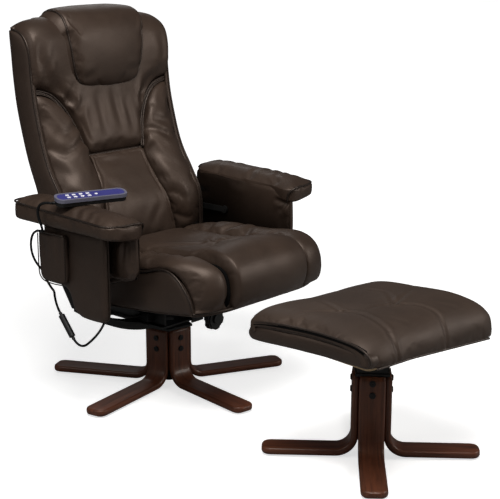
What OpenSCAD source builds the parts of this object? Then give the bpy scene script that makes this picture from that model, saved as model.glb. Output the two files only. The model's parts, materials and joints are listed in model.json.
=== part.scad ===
// Swivel massage recliner with its matching footstool.
// The chair faces -Y and its right arm is at -X.
// The origin is on the floor under the swivel axis, +Z is up. Units are millimetres.

/* [Chair base] */
// Width of each bent wooden leg
leg_w = 65; // [62:1:66]
// Thickness of each bent wooden leg
leg_t = 18; // [16:1:18]
// Distance from the swivel axis to a leg tip
leg_reach = 352; // [330:1:370]
// Distance from the swivel axis to the outer face of the upright boards
board_r = 59; // [59:1:62]
// Height of the top of the upright boards
board_top = 168; // [160:1:172]
// Inside radius of the bend between foot and upright
bend_r = 38; // [30:1:42]
// Direction of the first leg, from +X
leg_turn = 45.67; // [0:0.01:72]
// Thickness of the floor glides
glide_h = 4; // [3:0.5:5]

/* [Swivel] */
// Radius of the swivel spindle
spindle_r = 12.5; // [11:0.5:13]
// Running clearance of the spindle in its bushes
run_gap = 0.05; // [0.02:0.01:0.1]
// Height of the lowest point of the cross beam
beam_z = 186; // [186:1:188]
// Depth of the cross beam from front to back
beam_d = 50; // [40:1:60]
// Height of the cross beam section
beam_h = 22; // [18:1:22]

/* [Arms] */
// Distance from the centre plane to the inner face of an arm
arm_in = 294; // [292:1:298]
// Distance from the centre plane to the outer face of an arm pad
arm_out = 404; // [400:1:408]
// Front end of the arm pad (towards -Y)
pad_front = -210; // [-220:1:-205]
// Rear end of the arm pad
pad_rear = 176; // [170:1:180]
// Underside of the arm pad
pad_low = 514; // [513:1:516]
// Top of the arm pad
pad_top = 578; // [574:1:580]

/* [Seat] */
// Half width of the seat cushion
seat_half = 252; // [246:1:256]
// Tilt of the seat, front edge up
seat_tilt = 5.4; // [5:0.1:6]
// Height of the sprung seat frame bars
frame_bar = 16; // [12:1:16]

/* [Back] */
// Half width of the back
back_half = 264; // [260:1:268]
// Half width of the head pillow
pillow_half = 140; // [120:1:148]
// Recline hinge, distance behind the swivel axis
hinge_y = 128; // [126:1:130]
// Recline hinge height
hinge_z = 335; // [333:1:337]

/* [Massage motors] */
// Outer radius of a motor shell
motor_r = 16; // [15:0.5:16]
// Length of a motor shell
motor_l = 44; // [40:1:46]
// Radius of the off-centre weight
weight_r = 12; // [9:0.5:12.5]

/* [Handset] */
// Length of the handset
hand_l = 195; // [188:1:198]
// Width of the handset
hand_w = 46; // [44:1:48]
// Key travel clearance around each key
key_gap = 0.3; // [0.2:0.1:0.5]

/* [Footstool] */
// Footstool post position, sideways
stool_x = -45; // [-60:1:60]
// Footstool post position, in front of the chair
stool_y = -755; // [-800:1:-750]
// Turn of the footstool about its own post
stool_turn = -6.4; // [-10:0.1:10]
// Distance from the post to a stool leg tip
stool_reach = 270; // [250:1:280]
// Height of the stool's upright boards
stool_board_top = 218; // [210:1:225]
// Half width of the stool cushion
stool_half_x = 228; // [200:1:235]
// Half depth of the stool cushion
stool_half_y = 200; // [180:1:205]

/* [Hidden] */
$fn = 48;

wood = "#3a1710";
frame_wood = "#c9a36a";
black = "#151515";
leather = "#2c1f1a";
steel = "#8d9094";
key_white = "#e8e8ea";

plate_z = beam_z + beam_h;  // top of the cross beam
rail_x = 120;               // rails, runners and webs, from the centre plane
pin_r = 5;                  // hinge pins and recline link studs
link_y = hinge_y - 90;      // arm end of the recline links
link_z = hinge_z + 120;
sides = [-1, 1];            // right, left

// ---------- shared shapes ----------
module rounded_rect(length, width, radius) {
  square([length - 2 * radius, width], center = true);
  square([length, width - 2 * radius], center = true);
  for (x = sides, y = sides)
    translate([x * (length / 2 - radius), y * (width / 2 - radius)]) circle(radius);
}

// Plate from x0 to x1 with a [y, z] outline
module plate_x(x0, x1, outline) {
  translate([x0, 0, 0]) rotate([90, 0, 90]) linear_extrude(x1 - x0) polygon(outline);
}

module cyl_x(radius, x0, x1, y = 0, z = 0) {
  translate([x0, y, z]) rotate([0, 90, 0]) cylinder(r = radius, h = x1 - x0);
}

module cyl_y(radius, y0, y1, x, z) {
  translate([x, y1, z]) rotate([90, 0, 0]) cylinder(r = radius, h = y1 - y0);
}

// The same two on one side of the chair; near and far are distances from the centre plane
module side_plate(side, near, far, outline) {
  plate_x(min(side * near, side * far), max(side * near, side * far), outline);
}

module side_cyl(side, radius, near, far, y, z) {
  cyl_x(radius, min(side * near, side * far), max(side * near, side * far), y, z);
}

// Square prism centred on the Z axis
module square_prism(width, z, height) {
  translate([-width / 2, -width / 2, z]) cube([width, width, height]);
}

module ring(count, turn = 0) {
  for (i = [0:count - 1]) rotate([0, 0, turn + 360 / count * i]) children();
}

// ---------- legs of chair and stool ----------
tip_r = 22;           // corner radius of a leg tip
bolt_hole_r = 3.2;
wedge_l = 500;        // beyond any leg tip

// One bent leg along +X: a foot, a quarter bend and an upright board.
// face is the distance to the board's outer face; half_angle is half the leg's sector.
module bent_leg(width, face, reach, top, half_angle, bolt_heights) {
  inner = face - leg_t;
  bend_x = face + bend_r;
  bend_z = glide_h + leg_t + bend_r;
  outer_bend_r = bend_r + leg_t;
  wedge_half = wedge_l * tan(half_angle) - 0.3;
  difference() {
    intersection() {
      rotate([90, 0, 0]) linear_extrude(width, center = true) {
        translate([inner, bend_z]) square([leg_t, top - bend_z]);
        translate([bend_x, glide_h]) square([reach - bend_x, leg_t]);
        intersection() {
          translate([bend_x, bend_z]) difference() {
            circle(outer_bend_r);
            circle(bend_r);
          }
          translate([inner, glide_h]) square([outer_bend_r, outer_bend_r]);
        }
      }
      // plan outline with a rounded tip, cut to the leg's own sector
      linear_extrude(top + 10) intersection() {
        union() {
          translate([0, -width / 2]) square([reach - tip_r, width]);
          translate([0, -width / 2 + tip_r]) square([reach, width - 2 * tip_r]);
          for (y = sides) translate([reach - tip_r, y * (width / 2 - tip_r)]) circle(tip_r);
        }
        polygon([[0.4, 0], [wedge_l, wedge_half], [wedge_l, -wedge_half]]);
      }
    }
    for (z = bolt_heights) cyl_x(bolt_hole_r, inner - 5, face + 5, 0, z);
  }
}

module glide() {
  cylinder(r = 11, h = glide_h - 1);
  cylinder(r = 9, h = glide_h);
}

// Bolt along X with a stepped head outside the board and a hex socket
module leg_bolt(face, z) {
  head = face + 0.02;
  cyl_x(3, face - leg_t - 8, head, 0, z);
  difference() {
    union() {
      cyl_x(8, head, face + 2.4, 0, z);
      cyl_x(6.6, face + 2.4, face + 3.8, 0, z);
    }
    translate([face + 2, 0, z]) rotate([0, 90, 0]) cylinder(r = 2.3, h = 5, $fn = 6);
  }
}

// ---------- chair base ----------
base_bolts_z = [board_top - 26, board_top - 58];
column_r = board_r - leg_t;  // axis to a column face
column_low = 46;
hub_r = 22;
bush_r = 17;
hub_hole_r = hub_r + 0.1;

module chair_ring() {
  ring(5, leg_turn) children();
}

module pentagon(apothem, height) {
  rotate([0, 0, leg_turn + 36]) cylinder(r = apothem / cos(36), h = height, $fn = 5);
}

module base_legs() {
  color(wood) chair_ring()
    bent_leg(leg_w, board_r, leg_reach, board_top, 36, base_bolts_z);
}

module base_glides() {
  color(black) chair_ring() translate([leg_reach - 34, 0, 0]) glide();
}

module base_column() {
  color(black) difference() {
    translate([0, 0, column_low]) pentagon(column_r - 0.05, board_top - column_low);
    translate([0, 0, column_low + 4]) pentagon(column_r - 3, board_top);
    translate([0, 0, column_low - 6]) cylinder(r = hub_hole_r, h = 20);
    chair_ring() for (z = base_bolts_z) cyl_x(bolt_hole_r, 20, 60, 0, z);
  }
}

module base_cap_plate() {
  color(black) difference() {
    translate([0, 0, board_top + 0.03]) pentagon(board_r - 0.5, 6);
    translate([0, 0, board_top - 1]) cylinder(r = hub_hole_r, h = 20);
  }
}

module base_hub_tube() {
  color(black) difference() {
    union() {
      translate([0, 0, 14]) cylinder(r = hub_r, h = board_top - 4);
      translate([0, 0, 4]) cylinder(r = 18, h = 10);
    }
    translate([0, 0, 8]) cylinder(r = bush_r, h = 204);
  }
}

module base_bolts() {
  color(black) chair_ring() for (z = base_bolts_z) leg_bolt(board_r, z);
}

module swivel_bushes() {
  color("#d8d4c4") for (z = [30, board_top - 26]) translate([0, 0, z]) difference() {
    cylinder(r = bush_r, h = 30);
    translate([0, 0, -1]) cylinder(r = spindle_r + run_gap, h = 40);
  }
}

// ---------- swivel mechanism ----------
spindle_low = 22;
beam_shift = -12;       // middle of the beam, from the swivel axis
beam_flat = 70;         // half length of the level middle
beam_curve = 0.00132;   // rise per square millimetre beyond it
beam_step = 24.07;      // spacing of the outline stations
beam_steps = 14;        // stations on each side
mech_half = 134;        // half width of the mechanism plate
mech_t = 5;
clamp_z = 223;
clamp_rod_r = 5;

// The rails and seat frame lie at the tilt of the seat, about this point
seat_org = [0, 98, 287];
module seat_space() {
  translate(seat_org) rotate([-seat_tilt, 0, 0]) children();
}
function rail_z(y) = seat_org[2] - 40 + (seat_org[1] - y) * tan(seat_tilt);

module swivel_spindle() {
  color(steel) {
    translate([0, 0, spindle_low]) cylinder(r = spindle_r, h = plate_z - spindle_low - 0.1);
    translate([0, 0, board_top + 11.5]) cylinder(r = 30, h = 5);
  }
}

// Point on the beam's underside at station i, raised by lift
function beam_point(i, lift) = let (x = i * beam_step)
  [x, beam_z + (abs(x) > beam_flat ? beam_curve * pow(abs(x) - beam_flat, 2) : 0) + lift];

module cross_beam() {
  color(black) difference() {
    translate([0, beam_d / 2 + beam_shift, 0]) rotate([90, 0, 0]) linear_extrude(beam_d)
      polygon(concat(
        [for (i = [-beam_steps:beam_steps]) beam_point(i, 0)],
        [for (i = [beam_steps:-1:-beam_steps]) beam_point(i, beam_h - 0.1)]));
    translate([0, 0, beam_z - 20]) cylinder(r = spindle_r + 0.1, h = 80);
    // seat for the mechanism plate
    translate([-mech_half - 0.3, -60, plate_z - 0.02]) cube([2 * mech_half + 0.6, 90, 60]);
  }
}

module mechanism_plate() {
  web_front = -112;
  web_rear = 118;
  color(black) {
    difference() {
      translate([-mech_half, -115, plate_z]) cube([2 * mech_half, 235, mech_t]);
      for (x = [-60, 60], y = [-70, 70]) translate([x, y, plate_z - 1]) cylinder(r = 14, h = 8);
    }
    // upright webs under the rails
    for (side = sides) side_plate(side, rail_x - 3, rail_x + 3, [
      [web_front, plate_z + mech_t], [web_rear, plate_z + mech_t],
      [web_rear, rail_z(web_rear)], [web_front, rail_z(web_front)]]);
    // tab that carries the clamp rod, the rod and its collar
    translate([-22, -119, plate_z - 6]) cube([44, 5, 44]);
    cyl_y(clamp_rod_r, -192, -115, 0, clamp_z);
    cyl_y(8, -171, -166, 0, clamp_z);
  }
}

// C-section rails, open along the top
module slide_rails() {
  color(steel) seat_space() for (side = sides) translate([side * rail_x, 0, 0]) difference() {
    translate([-17, -212, -39.5]) cube([34, 232, 24]);
    translate([-13.5, -220, -36.5]) cube([27, 260, 17]);
    translate([-8, -220, -30]) cube([16, 260, 40]);
  }
}

module clamp_knob() {
  color(black) translate([0, -173, clamp_z]) rotate([90, 0, 0]) difference() {
    union() {
      cylinder(r = 32, h = 16);
      cylinder(r = 14, h = 24);
      translate([0, 0, 16]) cylinder(r = 26, h = 3);
    }
    // finger scallops
    ring(6, 12) translate([41, 0, -1]) cylinder(r = 13, h = 40);
    translate([0, 0, -1]) cylinder(r = clamp_rod_r + run_gap, h = 22);
  }
}

// ---------- arms ----------
bracket_x = 340;  // middle of the bracket plate
panel_t = 22;
outer_panel_x = 351;
// Outlines as [y, z]
bracket_outline = [[-62, 300], [-50, 290], [14, 290], [70, 374], [70, 508], [-62, 508]];
outer_outline = [[-150, 513], [-150, 299], [-142, 286], [-125, 282], [-70, 282], [-42, 289],
  [-27, 300], [-19, 323], [-12, 346], [0, 358], [74, 359], [84, 371], [85, 513]];
inner_outline = [[-208, 513], [-210, 424], [-202, 404], [-188, 394], [-78, 365], [126, 361],
  [146, 378], [150, 513]];
pocket_outline = [[-22, 504], [-22, 377], [-12, 366], [70, 366], [84, 381], [85, 504]];
pocket_space = [[-18, 509], [-18, 381], [-10, 370], [68, 370], [80, 383], [81, 509]];
// Spacers that hold the two upholstered panels, as [y, z]
outer_spacers = [[-40, 470], [50, 470], [0, 345]];
inner_spacers = [[-40, 470], [62, 470], [0, 400]];

module arm_brackets() {
  color(black) for (side = sides) {
    side_plate(side, bracket_x - 3, bracket_x + 3, bracket_outline);
    // stepped stud that carries the recline link
    side_cyl(side, pin_r, 276, 338, link_y, link_z);
    side_cyl(side, 7.5, 285, 338, link_y, link_z);
    // pad under the arm pad
    translate([side * 334 - 14, -60, 508]) cube([28, 128, 5.8]);
    for (at = outer_spacers) side_cyl(side, 8, bracket_x, outer_panel_x - 0.1, at[0], at[1]);
    for (at = inner_spacers) side_cyl(side, 8, 316.1, bracket_x, at[0], at[1]);
  }
}

module arm_pad(side) {
  color(leather)
    translate([side * (arm_in + arm_out) / 2, (pad_front + pad_rear) / 2, pad_low])
      linear_extrude(pad_top - pad_low)
        rounded_rect(arm_out - arm_in, pad_rear - pad_front, 26);
}
module arm_pad_right() { arm_pad(-1); }
module arm_pad_left() { arm_pad(1); }

module arm_panel_outer(side) {
  color(leather) side_plate(side, outer_panel_x, outer_panel_x + panel_t, outer_outline);
}
module arm_panel_outer_right() { arm_panel_outer(-1); }
module arm_panel_outer_left() { arm_panel_outer(1); }

module arm_panel_inner(side) {
  color(leather) difference() {
    side_plate(side, arm_in, arm_in + panel_t, inner_outline);
    side_cyl(side, 9, 280, 330, link_y, link_z);
  }
}
module arm_panel_inner_right() { arm_panel_inner(-1); }
module arm_panel_inner_left() { arm_panel_inner(1); }

// Open-topped pocket on the outside of the right arm
module side_pocket() {
  color(leather) difference() {
    plate_x(-391, -373.2, pocket_outline);
    plate_x(-387, -379, pocket_space);
  }
}

// ---------- cables and control box ----------
cable_r = 2.5;
connector_r = 8.5;
neck_r = 4.5;

// Each curve is [control point, end point, steps] and starts where the last one ended
handset_cable_start = [-421.9, -13.9, 591.9];
handset_cable_curves = [
  [[-436, 46, 594], [-424, 28, 532], 6],
  [[-421, 20, 506], [-404, 54, 506], 4],
  [[-391, 110, 500], [-392, 113, 460], 5],
  [[-392, 116, 420], [-376, 92, 390], 4],
  [[-362, 90, 352], [-362, 62, 332], 4],
  [[-362, 58, 298], [-362, 43, 280.5], 3]];
chair_cable_start = [-362, -15.2, 211.3];
chair_cable_curves = [
  [[-358, -36, 188], [-354, -62, 212], 6],
  [[-348, -100, 244], [-340, -110, 274], 6],
  [[-330, -106, 306], [-260, -84, 272], 5],
  [[-200, -74, 246], [-150, -42, 240], 4]];

// Points along a chain of quadratic Bezier curves
function cable_points(start, curves) = [
  for (n = [0:len(curves) - 1]) for (i = [0:curves[n][2]])
    let (from = n == 0 ? start : curves[n - 1][1], t = i / curves[n][2])
      (1 - t) * (1 - t) * from + 2 * t * (1 - t) * curves[n][0] + t * t * curves[n][1]];

module cable(start, curves) {
  points = cable_points(start, curves);
  for (i = [0:len(points) - 2]) hull() {
    translate(points[i]) sphere(cable_r, $fn = 8);
    translate(points[i + 1]) sphere(cable_r, $fn = 8);
  }
}

// From the handset's tail, over the pad's side, behind the pocket and down to the connector
module handset_cable() {
  color(black) cable(handset_cable_start, handset_cable_curves);
}

// From the connector to the control box
module chair_cable() {
  color(black) cable(chair_cable_start, chair_cable_curves);
}

// Inline connector, along its own Z from the handset cable to the chair cable
module connector_space() {
  translate([-362, 40, 277]) rotate([-40, 0, 0]) rotate([180, 0, 0]) children();
}

module connector_socket() {
  color(black) connector_space() difference() {
    union() {
      translate([0, 0, 8]) cylinder(r = connector_r, h = 31);
      cylinder(r = neck_r, h = 8.5);
    }
    translate([0, 0, 30]) cylinder(r = 3.05, h = 20);
  }
}

module connector_plug() {
  color(black) connector_space() {
    translate([0, 0, 39.3]) cylinder(r = connector_r, h = 34);
    translate([0, 0, 73]) cylinder(r = neck_r, h = 9);
    translate([0, 0, 31]) cylinder(r = 2.95, h = 9);
  }
}

// Hollow box with a square cable hole in its -X wall
module control_box() {
  color(black) difference() {
    translate([-147, -72, plate_z + 14]) cube([23.9, 64, 24]);
    translate([-145, -70, plate_z + 16]) cube([19.9, 60, 20]);
    translate([-150, -46, plate_z + 28]) cube([10, 8, 8]);
  }
}

// ---------- recline links and hinge ----------
link_x = 280.5;  // middle of a link
link_t = 6;
link_l = 120;    // between hole centres

module recline_links() {
  near = link_x - link_t / 2;
  far = link_x + link_t / 2;
  color(black) for (side = sides) difference() {
    union() {
      for (y = [link_y, link_y + link_l]) side_cyl(side, 11, near, far, y, link_z);
      translate([side * link_x - link_t / 2, link_y, link_z - 8]) cube([link_t, link_l, 16]);
    }
    side_cyl(side, pin_r + run_gap, 270, 290, link_y, link_z);
    side_cyl(side, 5.5, 270, 290, link_y + link_l, link_z);
  }
}

module hinge_pins() {
  color(steel) for (side = sides) {
    side_cyl(side, pin_r, 206, 239, hinge_y, hinge_z);
    side_cyl(side, 8, 236, 239, hinge_y, hinge_z);
  }
}

// ---------- massage motors, axis along X, centred ----------
seat_motor = [75, -118, 353];  // the left one; the right one mirrors it
motor_low = [0, 180, 560];
motor_high = [0, 258, 745];
shaft_r = 2;

function seat_motor_at(side) = [side * seat_motor[0], seat_motor[1], seat_motor[2]];

module motor_shell() {
  difference() {
    cyl_x(motor_r, -motor_l / 2, motor_l / 2);
    cyl_x(motor_r - 2, -motor_l / 2 + 3, motor_l / 2 - 3);
    cyl_x(shaft_r + run_gap, -motor_l, motor_l);
  }
}

// Shaft with a half-round weight below it
module rotor() {
  cyl_x(shaft_r, -motor_l / 2 - 2, motor_l / 2 + 2);
  difference() {
    cyl_x(weight_r, -12, 12);
    translate([-20, -30, 0]) cube([40, 60, 30]);
  }
}

module seat_motor_shells() {
  color(steel) for (side = sides) translate(seat_motor_at(side)) motor_shell();
}
module seat_rotor_right() { color(steel) translate(seat_motor_at(-1)) rotor(); }
module seat_rotor_left() { color(steel) translate(seat_motor_at(1)) rotor(); }

module back_motor_shells() {
  color(steel) for (at = [motor_low, motor_high]) translate(at) motor_shell();
}
module back_rotor_low() { color(steel) translate(motor_low) rotor(); }
module back_rotor_high() { color(steel) translate(motor_high) rotor(); }

// ---------- seat ----------
frame_z = 3;          // underside of the seat frame, in seat space
opening_front = -404; // front edge of the frame opening
// Spring sizes, in the plane of the seat
wire = 4;
spring_half = 22;
spring_pitch = 28;
spring_start = 14;
spring_runs = 13;
// Outlines as [y, z]
ear_outline = [[70, 296], [100, 292], [140, 326], [138, 347], [118, 347], [101, 318],
  [99.5, 305.5], [70, 305.5]];
seat_outline = [[-350, 317], [-374, 326], [-389, 348], [-393, 385], [-386, 416], [-366, 440],
  [-336, 449], [-300, 449], [-220, 436], [-100, 425], [0, 419], [92, 416], [97, 404], [98, 281]];

module seat_frame() {
  color(black) {
    seat_space() difference() {
      translate([-236, -440, frame_z]) cube([472, 436, frame_bar]);
      translate([-200, opening_front, 0]) cube([400, 364, 40]);
    }
    // runners that slide in the rails, their stems and the bars they hang from
    seat_space() for (side = sides) translate([side * rail_x, 0, 0]) {
      translate([-12.5, -180, -36]) cube([25, 150, 5.5]);
      translate([-7, -180, -31]) cube([14, 150, 34.5]);
      translate([-12, opening_front - 0.5, frame_z]) cube([24, 365, 8]);
    }
    // ears for the recline hinge
    for (side = sides) difference() {
      side_plate(side, 229, 235, ear_outline);
      side_cyl(side, pin_r + 0.1, 220, 240, hinge_y, hinge_z);
    }
  }
}

// Serpentine wires, front to back
module seat_springs() {
  color(steel) seat_space() for (x = [-165, -75, 75, 165])
    translate([x, opening_front, 13]) linear_extrude(wire) {
      for (i = [0:spring_runs - 1])
        translate([-spring_half, spring_start + i * spring_pitch])
          square([2 * spring_half, wire]);
      for (i = [0:spring_runs - 2])
        translate([i % 2 == 0 ? spring_half - wire : -spring_half,
          spring_start + i * spring_pitch]) square([wire, spring_pitch + wire]);
      // straight ends
      translate([-wire / 2, 0]) square([wire, 15]);
      translate([-wire / 2, spring_start + (spring_runs - 1) * spring_pitch])
        square([wire, 14]);
    }
}

module seat_cushion() {
  color(leather) difference() {
    plate_x(-seat_half, seat_half, seat_outline);
    // room for the frame, then for the motors
    seat_space() translate([-238, -442, -30]) cube([476, 500, 30 + frame_z + frame_bar + 1]);
    for (side = sides)
      translate([side * seat_motor[0] - 28, seat_motor[1] - 22, 280]) cube([56, 44, 94]);
  }
}

// ---------- back: layers that share one curved profile ----------
// Front and rear faces as [y, z], from the bottom up
back_front = [[106, 388], [110, 500], [145, 569], [196, 655], [233, 780], [246, 868],
  [250, 936], [262, 992], [290, 1022]];
back_rear = [[192, 388], [222, 500], [244, 569], [279, 655], [313, 780], [326, 868],
  [331, 936], [335, 995], [324, 1024]];
lug_outline = [[118, 323], [138, 323], [174, 385], [184, 425], [167, 425], [160, 387],
  [150, 384], [116, 346]];
pillow_outline = [[240.5, 842], [226, 848], [213, 870], [207, 920], [211, 980], [226, 1028],
  [252, 1054], [290, 1061], [322, 1056], [341, 1040], [344, 1012], [337, 1012], [327, 1027],
  [288, 1026], [259, 995], [247, 937], [243.5, 880]];
// Frame openings and webbing straps, as [bottom z, height]
frame_openings = [[440, 180], [660, 130], [830, 130]];
straps = [[460, 38], [530, 38], [666, 40], [766, 20], [860, 34], [915, 34]];
opening_half = 190;

// Outline between two depths, 0 at the front face and 1 at the rear face
function back_point(i, depth) = back_front[i] * (1 - depth) + back_rear[i] * depth;
function back_layer(front, rear) = concat(
  [for (i = [0:8]) back_point(i, front)],
  [for (i = [8:-1:0]) back_point(i, rear)]);

// Full-width slot between two heights
module opening_box(span) {
  translate([-opening_half, 0, span[0]]) cube([2 * opening_half, 600, span[1]]);
}

module back_cushion() {
  color(leather) difference() {
    plate_x(-back_half, back_half, back_layer(0, 0.6));
    for (at = [motor_low, motor_high]) translate(at + [-29, -20, -20]) cube([58, 120, 40]);
  }
}

module back_frame() {
  color(frame_wood) {
    difference() {
      plate_x(-235, 235, back_layer(0.62, 0.82));
      translate([-240, 0, 984]) cube([480, 500, 80]);
      for (span = frame_openings) opening_box(span);
    }
    // hinge lugs
    for (side = sides) difference() {
      side_plate(side, 209, 225, lug_outline);
      side_cyl(side, pin_r + run_gap, 200, 240, hinge_y, hinge_z);
    }
    // studs and plates at the free end of the recline links
    for (side = sides) {
      side_cyl(side, 8, 234, 276, 184, 455);
      side_plate(side, 271.5, 276, [[150, 447], [190, 447], [190, 463], [150, 463]]);
    }
  }
}

module back_webbing() {
  color(black) for (span = straps) intersection() {
    plate_x(-opening_half, opening_half, back_layer(0.64, 0.67));
    opening_box(span);
  }
}

module back_rear_cover() {
  color(leather) plate_x(-back_half, back_half, back_layer(0.84, 1));
}

module head_pillow() {
  color(leather) plate_x(-pillow_half, pillow_half, pillow_outline);
}

// ---------- handset: long side along X, underside at z = 0 in its own frame ----------
hand_pos = [-319, -48, pad_top + 8];
hand_tilt = 12;
hand_turn = -19;
key_x = [-63, -45, -26, -7];
key_y = [7, -7];      // rows a and b
key_size = [9, 7];
key_z = 14.2;         // underside of the keys
power_x = 14;
power_r = 4;

module hand_space() {
  translate(hand_pos) rotate([0, 0, hand_turn]) rotate([hand_tilt, 0, 0]) children();
}

// Handset outline, smaller all round by half of trim
module hand_slab(z, height, trim, radius) {
  translate([0, 0, z]) linear_extrude(height)
    rounded_rect(hand_l - trim, hand_w - trim, radius);
}

module key_openings() {
  for (x = key_x, y = key_y) translate([x, y, 15]) linear_extrude(10)
    rounded_rect(key_size[0] + 2 * key_gap, key_size[1] + 2 * key_gap, 1.2);
  translate([power_x, 0, 12]) cylinder(r = power_r + key_gap, h = 10);
}

module handset_lower_shell() {
  color(black) hand_space() difference() {
    union() {
      hand_slab(0, 11, 4, 16);
      // cable tail
      cyl_x(4, -hand_l / 2 - 8, -hand_l / 2 + 6, 0, 6);
    }
    hand_slab(2, 20, 9, 14);
  }
}

module handset_upper_shell() {
  color("#9a9ca2") hand_space() difference() {
    hand_slab(11.05, 9, 0, 18);
    hand_slab(10, 7, 9, 14);
    // recess for the face
    hand_slab(18.6, 5, 12, 14);
    key_openings();
  }
}

module handset_face() {
  color("#24305f") hand_space() difference() {
    hand_slab(18.65, 1.2, 13, 13.5);
    key_openings();
  }
}

module handset_circuit_board() {
  color("#1f5a35") hand_space() hand_slab(11.4, 1.6, 12, 12);
}

module hand_key(column, row) {
  color(key_white) hand_space() translate([key_x[column], key_y[row], key_z])
    linear_extrude(6.6) rounded_rect(key_size[0], key_size[1], 1.2);
}
module key_a1() { hand_key(0, 0); }
module key_a2() { hand_key(1, 0); }
module key_a3() { hand_key(2, 0); }
module key_a4() { hand_key(3, 0); }
module key_b1() { hand_key(0, 1); }
module key_b2() { hand_key(1, 1); }
module key_b3() { hand_key(2, 1); }
module key_b4() { hand_key(3, 1); }

module key_power() {
  color(key_white) hand_space() translate([power_x, 0, key_z]) cylinder(r = power_r, h = 6.2);
}

// ---------- footstool ----------
stool_board_r = 49;  // post axis to the outer face of the boards
stool_bolts_z = [stool_board_top - 16, stool_board_top - 46];
stool_plate_z = 304;
tray = [400, 344];   // upper step of the top plate
tray_r = 14;
// Cushion outline as [fraction of the half depth, z]
stool_outline = [[-0.985, 313], [-1, 330], [-1, 352], [-0.93, 378], [-0.75, 398], [-0.4, 409],
  [0, 412], [0.4, 409], [0.75, 398], [0.93, 378], [1, 352], [1, 330], [0.985, 313]];

module stool_space() {
  translate([stool_x, stool_y, 0]) rotate([0, 0, stool_turn]) children();
}

module stool_ring() {
  stool_space() ring(4, 45) children();
}

module stool_legs() {
  color(wood) stool_ring()
    bent_leg(64, stool_board_r, stool_reach, stool_board_top, 45, stool_bolts_z);
}

module stool_glides() {
  color(black) stool_ring() translate([stool_reach - 32, 0, 0]) glide();
}

module stool_column() {
  post_z = stool_board_top + 16;
  color(black) stool_space() rotate([0, 0, 45]) {
    difference() {
      square_prism(61.8, 60, stool_board_top - 60);
      square_prism(56, 55, stool_board_top - 52);
      ring(4) for (z = stool_bolts_z) cyl_x(bolt_hole_r, 10, 60, 0, z);
    }
    // stepped cap on the boards
    difference() {
      union() {
        square_prism(84, stool_board_top, 6);
        square_prism(76, stool_board_top, 22);
      }
      square_prism(54, stool_board_top - 5, 20);
    }
    // round post up to the top plate
    translate([0, 0, post_z]) cylinder(r = 24, h = stool_plate_z - 0.05 - post_z);
  }
}

module stool_bolts() {
  color(black) stool_ring() for (z = stool_bolts_z) leg_bolt(stool_board_r, z);
}

module stool_top_plate() {
  color(black) stool_space() translate([0, 0, stool_plate_z]) {
    linear_extrude(5) rounded_rect(240, 200, 12);
    translate([0, 0, 5]) linear_extrude(12) rounded_rect(tray[0], tray[1], tray_r);
  }
}

module stool_cushion() {
  shift = 6;  // the cushion sits this far to -X of the post
  color(leather) stool_space() translate([-shift, 0, 0]) difference() {
    plate_x(-stool_half_x, stool_half_x, [for (p = stool_outline) [p[0] * stool_half_y, p[1]]]);
    translate([shift, 0, 290]) linear_extrude(31.5)
      rounded_rect(tray[0] + 2, tray[1] + 2, tray_r + 1);
  }
}

base_legs();
base_glides();
base_column();
base_cap_plate();
base_hub_tube();
base_bolts();
swivel_bushes();
swivel_spindle();
mechanism_plate();
cross_beam();
slide_rails();
arm_brackets();
arm_pad_right();
arm_pad_left();
arm_panel_outer_right();
arm_panel_outer_left();
arm_panel_inner_right();
arm_panel_inner_left();
side_pocket();
handset_cable();
connector_socket();
connector_plug();
chair_cable();
control_box();
clamp_knob();
recline_links();
seat_frame();
hinge_pins();
seat_springs();
seat_cushion();
seat_motor_shells();
seat_rotor_right();
seat_rotor_left();
back_frame();
back_webbing();
back_cushion();
back_rear_cover();
head_pillow();
back_motor_shells();
back_rotor_low();
back_rotor_high();
handset_lower_shell();
handset_upper_shell();
handset_face();
handset_circuit_board();
key_a1();
key_a2();
key_a3();
key_a4();
key_b1();
key_b2();
key_b3();
key_b4();
key_power();
stool_legs();
stool_glides();
stool_column();
stool_bolts();
stool_top_plate();
stool_cushion();
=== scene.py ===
"""Looks for the swivel massage recliner with its footstool: upholstery, bent wooden legs, cords,
light and camera.

Lengths are metres. The chair column stands on the origin and z is up. The chair faces -y, so the
sitter's left is +x. The footstool stands in front of it, turned a little about its own centre.
"""
import json
import math

import bmesh
import bpy
import numpy as np
from mathutils import Matrix, Vector

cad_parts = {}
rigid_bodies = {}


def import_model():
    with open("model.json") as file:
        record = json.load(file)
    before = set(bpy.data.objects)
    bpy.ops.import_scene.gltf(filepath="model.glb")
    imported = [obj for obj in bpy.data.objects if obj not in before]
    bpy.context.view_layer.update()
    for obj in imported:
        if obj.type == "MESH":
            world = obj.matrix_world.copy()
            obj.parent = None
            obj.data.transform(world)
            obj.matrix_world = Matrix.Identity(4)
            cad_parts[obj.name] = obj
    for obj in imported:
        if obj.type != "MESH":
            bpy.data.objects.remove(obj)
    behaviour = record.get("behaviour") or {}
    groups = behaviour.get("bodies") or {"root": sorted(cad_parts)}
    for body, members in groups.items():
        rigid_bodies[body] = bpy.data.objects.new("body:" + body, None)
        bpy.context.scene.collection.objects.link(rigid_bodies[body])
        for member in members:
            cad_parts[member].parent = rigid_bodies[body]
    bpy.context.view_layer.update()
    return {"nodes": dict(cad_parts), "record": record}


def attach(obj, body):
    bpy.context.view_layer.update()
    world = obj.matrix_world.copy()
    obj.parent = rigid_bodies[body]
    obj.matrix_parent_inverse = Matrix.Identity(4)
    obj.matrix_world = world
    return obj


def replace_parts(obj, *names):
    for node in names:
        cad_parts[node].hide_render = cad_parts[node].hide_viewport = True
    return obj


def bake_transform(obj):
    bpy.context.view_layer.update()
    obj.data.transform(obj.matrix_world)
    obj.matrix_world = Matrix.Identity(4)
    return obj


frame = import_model()
NODES = frame["nodes"]
scene = bpy.context.scene
rng = np.random.default_rng(11)

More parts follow.
